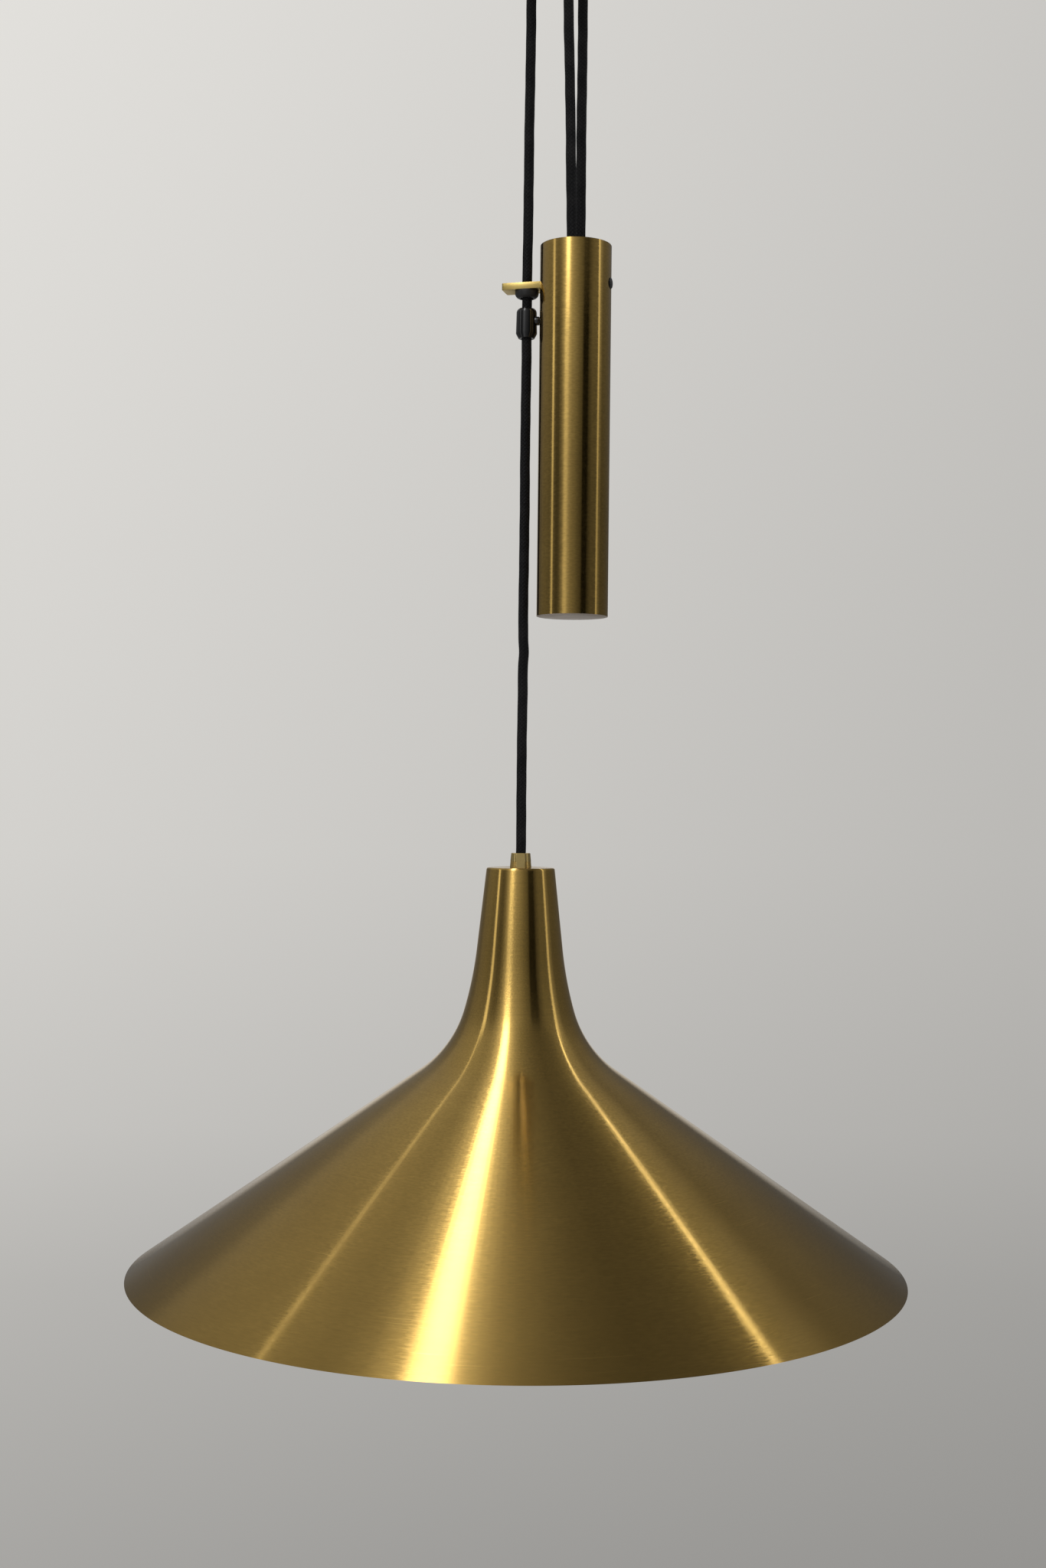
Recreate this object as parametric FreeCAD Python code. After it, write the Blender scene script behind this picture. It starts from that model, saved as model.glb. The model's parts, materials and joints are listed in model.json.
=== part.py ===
import FreeCAD, Part

import math
import os

# A rise and fall pendant, in millimetres, +Z up.
#
# A spun brass shade hangs on one textile cord.  The cord runs up through the guide arm of a tubular
# counterweight, over a pulley in the ceiling canopy, down and round a second pulley inside the top of the
# counterweight, and back up to a clamp in the canopy.  So the counterweight travels half as far as the lamp.
#
# The origin is the centre of the ceiling plate's upper face, on the ceiling.  The front is -Y.

# ---------------------------------------------------------------- driving dimensions
# the cord
CORD_D = 6.5

# where things hang: heights at rest, and places in plan
CANOPY_TO_TUBE = 202.4        # canopy's underside down to the top of the counterweight
GUIDE_TO_STOP = 6.3           # guide bushing's underside down to the cord stop
STOP_TO_GRIP = 335.3          # free cord between the cord stop and the cord grip
LAMP_AT = (-16.0, 8.0)        # the lamp's axis
LAMP_CORD_OFFSET = 1.0        # the lamp cord stands this far to the right at the ceiling pulley
ARM_REACH = 32.6              # lamp axis to counterweight axis
WEIGHT_TURN = -14.7           # its direction in plan, degrees
CEILING_PULLEY_TURN = -40.3   # the ceiling pulley's plane in plan, degrees

# ceiling plate
PLATE_D = 90.0
PLATE_T = 2.0
SLOT_SPACING = 70.0
SLOT_W = 4.6
SLOT_L = 12.0
SUPPLY_HOLE_D = 12.0
SUPPLY_HOLE_AT = (-19.0, 24.0)
TAB_W = 13.0
TAB_DROP = 22.0

# canopy
CANOPY_D = 110.0
CANOPY_H = 50.0
CANOPY_T = 1.0
CANOPY_EDGE_R = 9.0
CANOPY_SCREW_D = 4.0
CANOPY_SCREW_HEAD_D = 8.0
CANOPY_SCREW_HEAD_L = 5.0
CANOPY_SCREW_Z = -14.0
CANOPY_SCREW_ROUND_R = 0.6
CORD_HOLE_D = 12.0
BUSHING_FLANGE_D = 16.0
BUSHING_FLANGE_T = 2.0
BUSHING_COLLAR_L = 3.0
BUSHING_ROUND_R = 1.2

# pulleys
CEILING_PITCH_R = 15.0
WEIGHT_PITCH_R = 12.0
PULLEY_LIP = 4.2              # rim above the cord's centre line
PULLEY_FLANGE_T = 1.5
PULLEY_WEB_RECESS = 1.5
PULLEY_HUB_R = 5.6
PULLEY_EDGE_R = 0.6
PULLEY_GROOVE_WALL = 0.8      # metal under the groove where the web is recessed
BUSH_WALL = 1.2
AXLE_D = 6.0
CEILING_PULLEY_DROP = 27.5    # ceiling to the pulley's axle

# pulley yoke, its axle and clip
YOKE_T = 2.0
YOKE_W = 26.0
YOKE_BELOW_AXLE = 9.0
AXLE_HEAD_D = 9.0
AXLE_HEAD_T = 1.5
CLIP_D = 10.0
CLIP_T = 0.8
CLIP_GROOVE_D = 5.0
CLIP_MOUTH = 4.0
AXLE_END = 1.2                # axle beyond its clip
RIVET_D = 3.0
RIVET_HEAD_D = 5.4
RIVET_HEAD_T = 1.2
RIVET_ROUND_R = 0.5
YOKE_RIVET_SPACING = 18.0

# cord anchor: a lug, a saddle and two screws
LUG_T = 2.0
LUG_W = 21.0
LUG_FOOT = 14.0
LUG_DROP = 40.0
SADDLE_H = 10.0
SADDLE_BACK = 2.6             # saddle's metal behind the cord
SADDLE_GAP = 0.9              # between the saddle and the lug's upright
SADDLE_LIFT = 1.0             # saddle above the lug's lower end
SADDLE_EDGE_R = 1.2
ANCHOR_SCREW_D = 3.0
ANCHOR_SCREW_HEAD_D = 5.5
ANCHOR_SCREW_HEAD_T = 2.0
ANCHOR_SCREW_SPACING = 14.0

# cord tail and terminal block
TAIL_RISE_R = 15.0
TAIL_TURN_R = 20.0
TAIL_Z = -9.0
TAIL_RUN = 6.0
TERMINAL_L = 30.0
TERMINAL_W = 14.0
TERMINAL_H = 15.0
TERMINAL_POLES = 3
TERMINAL_SCREW_D = 3.0
TERMINAL_BORE_D = 3.4
TERMINAL_EDGE_R = 1.0
TERMINAL_SCREW_SINK = 1.5
TERMINAL_HEAD_D = 5.4
TERMINAL_HEAD_T = 1.6

# counterweight
TUBE_D = 46.3
TUBE_L = 240.0
TUBE_T = 1.5
AXLE_BELOW_TOP = 25.1
BASE_T = 3.0
CORE_GAP = 2.7                # the core's top to the pulley's rim
CORE_CHAMFER = 1.5
SPACER_D = 9.0

# guide arm and its bushing
ARM_T = 4.2
ARM_W = 14.5
ARM_PAST_CORD = 15.2
ARM_CORNER_R = 1.2
GUIDE_BORE_D = 8.6
GUIDE_BODY_D = 11.0
GUIDE_FLANGE_D = 15.4
GUIDE_FLANGE_T = 5.0
GUIDE_ROUND_R = 2.2
AXLE_SCREW_D = 4.0
AXLE_SCREW_L = 10.0
AXLE_SCREW_HEAD_D = 7.4
AXLE_SCREW_HEAD_T = 1.1

# cord stop
STOP_D = 13.2
STOP_FLARE = 0.3              # radius gained towards the foot
STOP_L = 19.8
STOP_SHOULDER_R = 3.0
STOP_TAPER_H = 3.2
STOP_TAPER = 1.7              # radius lost in that height
STOP_BOSS_D = 5.7
STOP_BOSS_OUT = 2.0
STOP_BOSS_DROP = 8.5          # stop's top to the clamp screw
STOP_SCREW_D = 3.0
STOP_SCREW_SINK = 0.6
STOP_SCREW_KEY = 1.2          # depth of its key's hole
STOP_BOSS_ROUND_R = 0.7

# cord grip on the shade
GRIP_D = 14.3
GRIP_TOP_D = 12.5
GRIP_H = 9.4
GRIP_RINGS = 5
GRIP_RING_PITCH = 0.8
GRIP_RING_DEPTH = 0.3
GRIP_RING_FOOT = 0.2          # plain foot under the rings
GRIP_BAND = 0.4               # plain band between the rings and the flats
GRIP_SCREW_DROP = 1.65        # grip's top to its screw
GRIP_FLATS = 12.4
GRIP_FLATS_H = 2.4
GRIP_SCREW_D = 3.0

# threaded tube through the shade, with its washer and nut
NIPPLE_D = 10.0
NIPPLE_BORE_D = 7.2
NIPPLE_IN_GRIP = 6.0
NIPPLE_IN_HOLDER = 6.0
WASHER_D = 24.0
WASHER_T = 1.2
NUT_FLATS = 14.0
NUT_H = 3.5

# shade: an outline of straight, arc, arc, straight, whose angles lie from the vertical
SHADE_D = 500.0
NECK_R = 22.2
NECK_TAPER = 6.3
NECK_L = 53.3
FLARE_R = 241.3
FLARE_TO = 16.0
KNEE_R = 70.9
SKIRT_SLOPE = 55.26
SHADE_T = 0.7
SHADE_TOP_BEND = 1.5

# lampholder
HOLDER_D = 38.0
HOLDER_T = 1.4
CAP_H = 22.0
CAP_EDGE_R = 7.0
HOLDER_COLLAR_WALL = 2.0
SHELL_H = 34.0
SHELL_LIP_D = 33.0
SHELL_STEP = 8.0
SHELL_SLOPE = 1.5
INSERT_H = 9.0
SLEEVE_D = 27.6
SLEEVE_T = 0.4
SLEEVE_L = 21.0
CONTACT_D = 9.0
CONTACT_H = 2.0
HOLDER_SCREW_D = 3.0
HOLDER_SCREW_SPACING = 16.0
HOLDER_SCREW_H = 2.5
HOLDER_SCREW_HEAD_D = 5.7
HOLDER_SCREW_SHORT = 1.0      # the screw ends this far inside the insert
WIRE_D = 2.4
WIRE_BEND_R = 3.0
WIRE_BEND_SHARE = 0.9         # of the wire's run to the screw, at most
CORD_IN_HOLDER = 3.0

# bulb
BULB_D = 60.0
BULB_NECK_R = 12.0
BULB_GLASS_T = 0.8
BULB_NECK_IN = 4.0            # glass inside the bulb's cap
BULB_NECK_L = 50.0            # neck's end to the globe's centre
BULB_CAP_D = 26.0
BULB_CAP_L = 22.0
BULB_CAP_CONE = 4.0
BULB_TIP_R = 4.5
BULB_TIP_H = 1.5
BULB_TIP_SINK = 0.7           # the tip's bead inside the cap
BULB_CAP_T = 0.5

# the tackle: the counterweight's travel as a share of the lamp's
WEIGHT_SHARE = 0.5

# clearances
FIT = 0.05                    # shafts and threads in their holes, on the radius
RUNNING = 0.05                # pulley bushes on their axles, on the radius
SEAT = 0.1                    # pressed and pushed pieces, on the radius
CORD_PLAY = 0.1               # cord in the pieces that grip it, on the radius
GROOVE_PLAY = 0.3             # cord in a pulley's groove
SIDE_PLAY = 0.4               # pulley to its cheeks or spacers
TAB_PLAY = 0.5                # plate's tabs to the canopy's wall
END_GAP = 0.3                 # a lamp travel that ends this far before a stop
HEAD_ROUND = 0.45             # share of a screw head's height that is rounded
SCREW_PAST = 1.0              # a screw beyond what it is screwed into
TINY = 0.01                   # tolerance for picking edges

# ---------------------------------------------------------------- places worked out from them
CORD_R = CORD_D / 2


def plan(angle, length=1.0):
    """A level direction at that angle from +X, in degrees."""
    return FreeCAD.Vector(length * math.cos(math.radians(angle)), length * math.sin(math.radians(angle)), 0)


def level(place, z):
    return FreeCAD.Vector(place[0], place[1], z)


UP = FreeCAD.Vector(0, 0, 1)
LAMP = FreeCAD.Vector(LAMP_AT[0], LAMP_AT[1], 0)
WEIGHT = LAMP + plan(WEIGHT_TURN, ARM_REACH)
ARM_OUT = plan(WEIGHT_TURN + 180)                       # from the counterweight towards the lamp cord
WEIGHT_PLANE = plan(WEIGHT_TURN + 90)                   # the counterweight pulley's plane, near to far
NEAR_STRAND = WEIGHT - WEIGHT_PLANE * WEIGHT_PITCH_R    # goes up to the ceiling pulley
ANCHOR = WEIGHT + WEIGHT_PLANE * WEIGHT_PITCH_R         # goes up to the clamp
CEILING_PLANE = plan(CEILING_PULLEY_TURN)
LAMP_STRAND = LAMP + FreeCAD.Vector(LAMP_CORD_OFFSET, 0, 0)
CEILING_PULLEY = LAMP_STRAND + CEILING_PLANE * CEILING_PITCH_R
FAR_STRAND = LAMP_STRAND + CEILING_PLANE * 2 * CEILING_PITCH_R
CEILING_AXLE_DIR = plan(CEILING_PULLEY_TURN + 90)

CANOPY_Z = -CANOPY_H
CEILING_AXLE_Z = -CEILING_PULLEY_DROP
SADDLE_Z = -LUG_DROP + SADDLE_LIFT
TUBE_TOP = CANOPY_Z - CANOPY_TO_TUBE
TUBE_BOTTOM = TUBE_TOP - TUBE_L
WEIGHT_AXLE_Z = TUBE_TOP - AXLE_BELOW_TOP
CORE_TOP = WEIGHT_AXLE_Z - WEIGHT_PITCH_R - PULLEY_LIP - CORE_GAP
CORE_BOTTOM = TUBE_BOTTOM + BASE_T
ARM_BOTTOM = WEIGHT_AXLE_Z - ARM_T / 2
GUIDE_BOTTOM = ARM_BOTTOM - GUIDE_FLANGE_T
STOP_TOP = GUIDE_BOTTOM - GUIDE_TO_STOP
STOP_BOTTOM = STOP_TOP - STOP_L
GRIP_TOP = STOP_BOTTOM - STOP_TO_GRIP
SHADE_TOP = GRIP_TOP - GRIP_H
WASHER_TOP = SHADE_TOP - SHADE_T
NUT_TOP = WASHER_TOP - WASHER_T
HOLDER_TOP = NUT_TOP - NUT_H
SHELL_TOP = HOLDER_TOP - CAP_H
SHELL_BOTTOM = SHELL_TOP - SHELL_H
INSERT_BOTTOM = SHELL_TOP - INSERT_H
CONTACT_BOTTOM = INSERT_BOTTOM - CONTACT_H
CORD_END = HOLDER_TOP - HOLDER_T - NIPPLE_IN_HOLDER - CORD_IN_HOLDER

BUSH_R = AXLE_D / 2 + RUNNING + BUSH_WALL
GROOVE_R = CORD_R + GROOVE_PLAY
PULLEY_W = 2 * (GROOVE_R + PULLEY_FLANGE_T)
CHEEK_IN = PULLEY_W / 2 + SIDE_PLAY
CHEEK_OUT = CHEEK_IN + YOKE_T
TUBE_R = TUBE_D / 2
TUBE_IN = TUBE_R - TUBE_T


# ---------------------------------------------------------------- shapes
def turned(profile, at=LAMP):
    """A solid turned about the vertical through at, from (radius, height) corners in order."""
    points = [FreeCAD.Vector(r, 0, z) for r, z in profile]
    face = Part.Face(Part.makePolygon(points + points[:1]))
    solid = face.revolve(FreeCAD.Vector(), UP, 360)
    solid.translate(FreeCAD.Vector(at.x, at.y, 0))
    return solid


def turned_edges(edges, at=LAMP):
    """The same, from the closed outline's own edges in the XZ plane."""
    solid = Part.Face(Part.Wire(edges)).revolve(FreeCAD.Vector(), UP, 360)
    solid.translate(FreeCAD.Vector(at.x, at.y, 0))
    return solid


def rod(radius, start, direction, length):
    return Part.makeCylinder(radius, length, start, direction)


def ring(outer, inner, start, direction, length):
    return rod(outer, start, direction, length).cut(rod(inner, start, direction, length))


def block(along, across, height, at, direction):
    """A box centred on at in plan, its length along direction, standing up from at's height."""
    box = Part.makeBox(along, across, height, FreeCAD.Vector(-along / 2, -across / 2, 0))
    box.rotate(FreeCAD.Vector(), UP, math.degrees(math.atan2(direction.y, direction.x)))
    box.translate(at)
    return box


def at_height(edge, z):
    return abs(edge.CenterOfMass.z - z) < TINY


def round_edges(solid, radius, wanted):
    """Rounds the edges for which wanted(edge) is true."""
    return solid.makeFillet(radius, [e for e in solid.Edges if wanted(e)])


def circle(at, radius):
    return Part.Wire(Part.makeCircle(radius, at, UP))


def strand(low, high):
    """A straight stretch of cord between two level ends."""
    return Part.makeLoft([circle(low, CORD_R), circle(high, CORD_R)], True, True)


def wrap(start, centre, axis):
    """A half turn of cord round a pulley."""
    return Part.Face(circle(start, CORD_R)).revolve(centre, axis, 180)


def bent_tube(name, points, radii, diameter):
    """A tube along straight runs, with a tangent arc of each given radius at each inner point."""
    edges, start, length = [], points[0], 0.0
    for before, corner, after, radius in zip(points, points[1:], points[2:], radii):
        come, go = (corner - before).normalize(), (after - corner).normalize()
        turn = come.getAngle(go)
        cut = radius * math.tan(turn / 2)
        first, last = corner - come * cut, corner + go * cut
        inward = (go - come).normalize()
        middle = corner + inward * (radius / math.cos(turn / 2) - radius)
        edges += [Part.LineSegment(start, first).toShape(), Part.Arc(first, middle, last).toShape()]
        length += start.distanceToPoint(first) + radius * turn
        start = last
    edges.append(Part.LineSegment(start, points[-1]).toShape())
    length += start.distanceToPoint(points[-1])
    way = (points[1] - points[0]).normalize()
    section = Part.Wire(Part.makeCircle(diameter / 2, points[0], way))
    tube = Part.Wire(edges).makePipeShell([section], True, True)
    expected = math.pi * diameter**2 / 4 * length
    print(f"{name}: radii {radii}, {length:.1f} long, volume {tube.Volume / expected:.4f} of expected")
    return tube


def pan_screw(diameter, head_d, head_t, length, at, direction):
    """A screw with its head's underside at at; its thread runs along direction."""
    head = rod(head_d / 2, at - direction * head_t, direction, head_t)
    head = round_edges(head, head_t * HEAD_ROUND,
                       lambda e: e.CenterOfMass.distanceToPoint(at) > head_t - TINY)
    return head.fuse(rod(diameter / 2, at, direction, length)).removeSplitter()


# ---------------------------------------------------------------- ceiling fitting
TAB_OUT = CANOPY_D / 2 - CANOPY_T - TAB_PLAY
YOKE_BASE_Z = -PLATE_T - YOKE_T
SIDES = (-1, 1)


def ceiling_plate():
    """Steel plate with two slots for the ceiling screws, a supply hole and two bent tabs for the canopy."""
    plate = rod(PLATE_D / 2, FreeCAD.Vector(0, 0, -PLATE_T), UP, PLATE_T)
    plate = plate.fuse(block(2 * TAB_OUT, TAB_W, PLATE_T, FreeCAD.Vector(0, 0, -PLATE_T), plan(0)))
    for side in SIDES:
        tab_x = side * (TAB_OUT - PLATE_T / 2)
        tab = block(PLATE_T, TAB_W, TAB_DROP, FreeCAD.Vector(tab_x, 0, -TAB_DROP), plan(0))
        plate = plate.fuse(tab)
    plate = plate.removeSplitter()
    cuts = [rod(SUPPLY_HOLE_D / 2, level(SUPPLY_HOLE_AT, -PLATE_T), UP, PLATE_T)]
    for side in SIDES:
        at = FreeCAD.Vector(side * SLOT_SPACING / 2, 0, -PLATE_T)
        cuts.append(block(SLOT_L - SLOT_W, SLOT_W, PLATE_T, at, plan(0)))
        for end in SIDES:
            slot_end = at + FreeCAD.Vector(end * (SLOT_L - SLOT_W) / 2, 0, 0)
            cuts.append(rod(SLOT_W / 2, slot_end, UP, PLATE_T))
        hole_from = FreeCAD.Vector(side * (TAB_OUT - PLATE_T), 0, CANOPY_SCREW_Z)
        cuts.append(rod(CANOPY_SCREW_D / 2 + FIT, hole_from, plan(90 - 90 * side), PLATE_T))
    for at in yoke_rivet_places() + anchor_rivet_places():
        cuts.append(rod(RIVET_D / 2 + FIT, level(at, -PLATE_T), UP, PLATE_T))
    cuts.append(rod(TERMINAL_SCREW_D / 2 + FIT, level(terminal_at(), -PLATE_T), UP, PLATE_T))
    return plate.cut(cuts)


def canopy():
    """Spun brass cup with a rounded lower edge, three cord holes and two screw holes."""
    outer = rod(CANOPY_D / 2, FreeCAD.Vector(0, 0, CANOPY_Z), UP, CANOPY_H)
    outer = round_edges(outer, CANOPY_EDGE_R, lambda e: at_height(e, CANOPY_Z))
    inner_z = CANOPY_Z + CANOPY_T
    inner = rod(CANOPY_D / 2 - CANOPY_T, FreeCAD.Vector(0, 0, inner_z), UP, CANOPY_H)
    inner = round_edges(inner, CANOPY_EDGE_R - CANOPY_T, lambda e: at_height(e, inner_z))
    cup = outer.cut(inner)
    for at in (LAMP_STRAND, FAR_STRAND, ANCHOR):
        cup = cup.cut(rod(CORD_HOLE_D / 2, level(at, CANOPY_Z), UP, CANOPY_T))
    for side in SIDES:
        start = FreeCAD.Vector(side * (CANOPY_D / 2 - 2 * CANOPY_T), 0, CANOPY_SCREW_Z)
        cup = cup.cut(rod(CANOPY_SCREW_D / 2 + SEAT, start, plan(90 - 90 * side), 4 * CANOPY_T))
    return cup


def canopy_screws():
    """Two knurled thumb screws that hold the canopy to the plate's tabs."""
    screws = []
    for side in SIDES:
        out = plan(90 - 90 * side)
        seat = out * (CANOPY_D / 2) + UP * CANOPY_SCREW_Z
        head = rod(CANOPY_SCREW_HEAD_D / 2, seat, out, CANOPY_SCREW_HEAD_L)
        head = round_edges(head, CANOPY_SCREW_ROUND_R,
                           lambda e: e.CenterOfMass.distanceToPoint(seat) > CANOPY_SCREW_HEAD_L / 2)
        reach = CANOPY_D / 2 - TAB_OUT + PLATE_T + SCREW_PAST
        screws.append(head.fuse(rod(CANOPY_SCREW_D / 2, seat - out * reach, out, reach)).removeSplitter())
    return Part.makeCompound(screws)


def canopy_bushings():
    """Three flanged bushings that line the canopy's cord holes."""
    bushings = []
    low = CANOPY_Z - BUSHING_FLANGE_T
    for at in (LAMP_STRAND, FAR_STRAND, ANCHOR):
        flange = rod(BUSHING_FLANGE_D / 2, level(at, low), UP, BUSHING_FLANGE_T)
        flange = round_edges(flange, BUSHING_ROUND_R, lambda e: at_height(e, low))
        collar = rod(CORD_HOLE_D / 2 - SEAT, level(at, CANOPY_Z), UP, BUSHING_COLLAR_L)
        bore = rod(GUIDE_BORE_D / 2, level(at, low), UP, BUSHING_FLANGE_T + BUSHING_COLLAR_L)
        bushings.append(flange.fuse(collar).removeSplitter().cut(bore))
    return Part.makeCompound(bushings)


def yoke_rivet_places():
    return [CEILING_PULLEY + CEILING_PLANE * (side * YOKE_RIVET_SPACING / 2) for side in SIDES]


def pulley_yoke():
    """U-shaped steel bracket whose two cheeks carry the ceiling pulley's axle."""
    base = block(YOKE_W, 2 * CHEEK_OUT, YOKE_T, level(CEILING_PULLEY, YOKE_BASE_Z), CEILING_PLANE)
    drop = YOKE_BASE_Z - CEILING_AXLE_Z
    yoke = base
    for side in SIDES:
        inner = CEILING_PULLEY + CEILING_AXLE_DIR * (side * (CHEEK_IN + YOKE_T / 2))
        cheek = block(YOKE_W, YOKE_T, drop, level(inner, CEILING_AXLE_Z), CEILING_PLANE)
        face = CEILING_PULLEY + CEILING_AXLE_DIR * (side * CHEEK_IN if side > 0 else side * CHEEK_OUT)
        boss = rod(YOKE_W / 2, level(face, CEILING_AXLE_Z), CEILING_AXLE_DIR, YOKE_T)
        foot = block(YOKE_W, YOKE_T, YOKE_W, level(inner, CEILING_AXLE_Z - YOKE_BELOW_AXLE), CEILING_PLANE)
        yoke = yoke.fuse(cheek).fuse(boss.common(foot))
    yoke = yoke.removeSplitter()
    start = level(CEILING_PULLEY - CEILING_AXLE_DIR * CHEEK_OUT, CEILING_AXLE_Z)
    yoke = yoke.cut(rod(AXLE_D / 2 + FIT, start, CEILING_AXLE_DIR, 2 * CHEEK_OUT))
    for at in yoke_rivet_places():
        yoke = yoke.cut(rod(RIVET_D / 2 + FIT, level(at, YOKE_BASE_Z), UP, YOKE_T))
    return yoke


def rivets(places, foot_t):
    """Rivets through the ceiling plate, flush above it, with a head below."""
    made = []
    for at in places:
        under = -PLATE_T - foot_t
        shank = rod(RIVET_D / 2, level(at, under), UP, PLATE_T + foot_t)
        head = rod(RIVET_HEAD_D / 2, level(at, under - RIVET_HEAD_T), UP, RIVET_HEAD_T)
        head = round_edges(head, RIVET_ROUND_R, lambda e: at_height(e, under - RIVET_HEAD_T))
        made.append(head.fuse(shank).removeSplitter())
    return Part.makeCompound(made)


def ceiling_pulley_axle():
    """Headed pin through the yoke, with a groove for its clip."""
    start = level(CEILING_PULLEY - CEILING_AXLE_DIR * CHEEK_OUT, CEILING_AXLE_Z)
    length = 2 * CHEEK_OUT + SIDE_PLAY + CLIP_T + AXLE_END
    pin = rod(AXLE_D / 2, start, CEILING_AXLE_DIR, length)
    head_at = start - CEILING_AXLE_DIR * AXLE_HEAD_T
    pin = pin.fuse(rod(AXLE_HEAD_D / 2, head_at, CEILING_AXLE_DIR, AXLE_HEAD_T))
    groove_at = start + CEILING_AXLE_DIR * (2 * CHEEK_OUT + SIDE_PLAY / 2)
    groove = ring(AXLE_D, CLIP_GROOVE_D / 2, groove_at, CEILING_AXLE_DIR, CLIP_T + SIDE_PLAY / 2)
    return pin.removeSplitter().cut(groove)


def axle_clip():
    """Spring clip in the axle's groove, open on its lower side."""
    at = level(CEILING_PULLEY + CEILING_AXLE_DIR * (CHEEK_OUT + SIDE_PLAY / 2), CEILING_AXLE_Z)
    clip = ring(CLIP_D / 2, CLIP_GROOVE_D / 2 + FIT, at, CEILING_AXLE_DIR, CLIP_T)
    mouth = block(CLIP_MOUTH, 4 * CLIP_T, CLIP_D, at - UP * CLIP_D, CEILING_PLANE)
    return clip.cut(mouth)


def lug_back():
    """Middle of the lug's face that the cord is clamped against."""
    return FreeCAD.Vector(ANCHOR.x, ANCHOR.y + CORD_R + CORD_PLAY, 0)


def anchor_rivet_places():
    foot_y = lug_back().y + LUG_T + (LUG_FOOT - LUG_T) / 2
    return [FreeCAD.Vector(ANCHOR.x + side * LUG_W / 4, foot_y, 0) for side in SIDES]


def clamp_screw_places():
    z = SADDLE_Z + SADDLE_H / 2
    return [level(ANCHOR + plan(0, side * ANCHOR_SCREW_SPACING / 2), z) for side in SIDES]


def anchor_lug():
    """Bent steel lug under the plate; the cord's fixed end is clamped to its upright."""
    back = lug_back()
    top = -PLATE_T
    upright = block(LUG_W, LUG_T, LUG_DROP + top, level(back + plan(90, LUG_T / 2), -LUG_DROP), plan(0))
    foot = block(LUG_W, LUG_FOOT, LUG_T, level(back + plan(90, LUG_FOOT / 2), top - LUG_T), plan(0))
    lug = upright.fuse(foot).removeSplitter()
    for at in anchor_rivet_places():
        lug = lug.cut(rod(RIVET_D / 2 + FIT, level(at, top - LUG_T), UP, LUG_T))
    for at in clamp_screw_places():
        lug = lug.cut(rod(ANCHOR_SCREW_D / 2 + FIT, level((at.x, back.y), at.z), plan(90), LUG_T))
    return lug


def anchor_saddle():
    """Clamp block with a half-round seat for the cord."""
    depth = 2 * CORD_R + SADDLE_BACK - SADDLE_GAP
    front = ANCHOR.y - CORD_R - CORD_PLAY - SADDLE_BACK
    middle = FreeCAD.Vector(ANCHOR.x, front + depth / 2, 0)
    z = SADDLE_Z
    saddle = block(LUG_W, depth, SADDLE_H, level(middle, z), plan(0))
    saddle = round_edges(saddle, SADDLE_EDGE_R, lambda e: len(e.Vertexes) == 2 and e.BoundBox.YLength < TINY
                         and abs(e.BoundBox.ZLength - SADDLE_H) < TINY and e.CenterOfMass.y < middle.y)
    seat_r = CORD_R + CORD_PLAY
    channel = block(2 * seat_r, depth, SADDLE_H, level(ANCHOR + plan(90, depth / 2), z), plan(0))
    saddle = saddle.cut(rod(seat_r, level(ANCHOR, z), UP, SADDLE_H)).cut(channel)
    for at in clamp_screw_places():
        hole = rod(ANCHOR_SCREW_D / 2 + FIT, level((at.x, front), at.z), plan(90), depth)
        saddle = saddle.cut(hole)
    return saddle


def anchor_screws():
    front = ANCHOR.y - CORD_R - CORD_PLAY - SADDLE_BACK
    reach = lug_back().y + LUG_T - front + SCREW_PAST
    return Part.makeCompound([
        pan_screw(ANCHOR_SCREW_D, ANCHOR_SCREW_HEAD_D, ANCHOR_SCREW_HEAD_T, reach,
                  level((at.x, front), at.z), plan(90))
        for at in clamp_screw_places()])


def tail_points():
    """The cord's fixed end: up from the clamp, back across the plate and round to the terminal block."""
    run_y = ANCHOR.y - TAIL_RISE_R - TAIL_RUN - TAIL_TURN_R
    return [
        level(ANCHOR, SADDLE_Z + SADDLE_H),
        level(ANCHOR, TAIL_Z),
        FreeCAD.Vector(ANCHOR.x, run_y, TAIL_Z),
        FreeCAD.Vector(ANCHOR.x - TAIL_TURN_R - TAIL_RUN / 2, run_y, TAIL_Z),
    ]


def terminal_at():
    end = tail_points()[-1]
    return FreeCAD.Vector(end.x - TERMINAL_L / 2, end.y, 0)


def terminal_pole_places():
    step = TERMINAL_L / TERMINAL_POLES
    first = terminal_at().x - TERMINAL_L / 2 + step / 2
    return [FreeCAD.Vector(first + i * step, terminal_at().y, 0) for i in range(TERMINAL_POLES)]


def terminal_block():
    """Connector strip under the plate: one wire bore through each pole and two screw wells below it."""
    low = -PLATE_T - TERMINAL_H
    body = block(TERMINAL_L, TERMINAL_W, TERMINAL_H, level(terminal_at(), low), plan(0))
    body = round_edges(body, TERMINAL_EDGE_R, lambda e: abs(e.BoundBox.ZLength - TERMINAL_H) < TINY)
    cuts = [rod(TERMINAL_SCREW_D / 2 + FIT, level(terminal_at(), low), UP, TERMINAL_H)]
    for at in terminal_pole_places():
        bore_x = at.x - TERMINAL_L / TERMINAL_POLES / 4
        start = FreeCAD.Vector(bore_x, at.y - TERMINAL_W / 2, low + TERMINAL_H / 2)
        cuts.append(rod(TERMINAL_BORE_D / 2, start, plan(90), TERMINAL_W))
        for side in SIDES:
            well = FreeCAD.Vector(bore_x, at.y + side * TERMINAL_W / 4, low)
            cuts.append(rod(TERMINAL_SCREW_D / 2 + FIT, well, UP, TERMINAL_H / 2))
    return body.cut(cuts)


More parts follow.
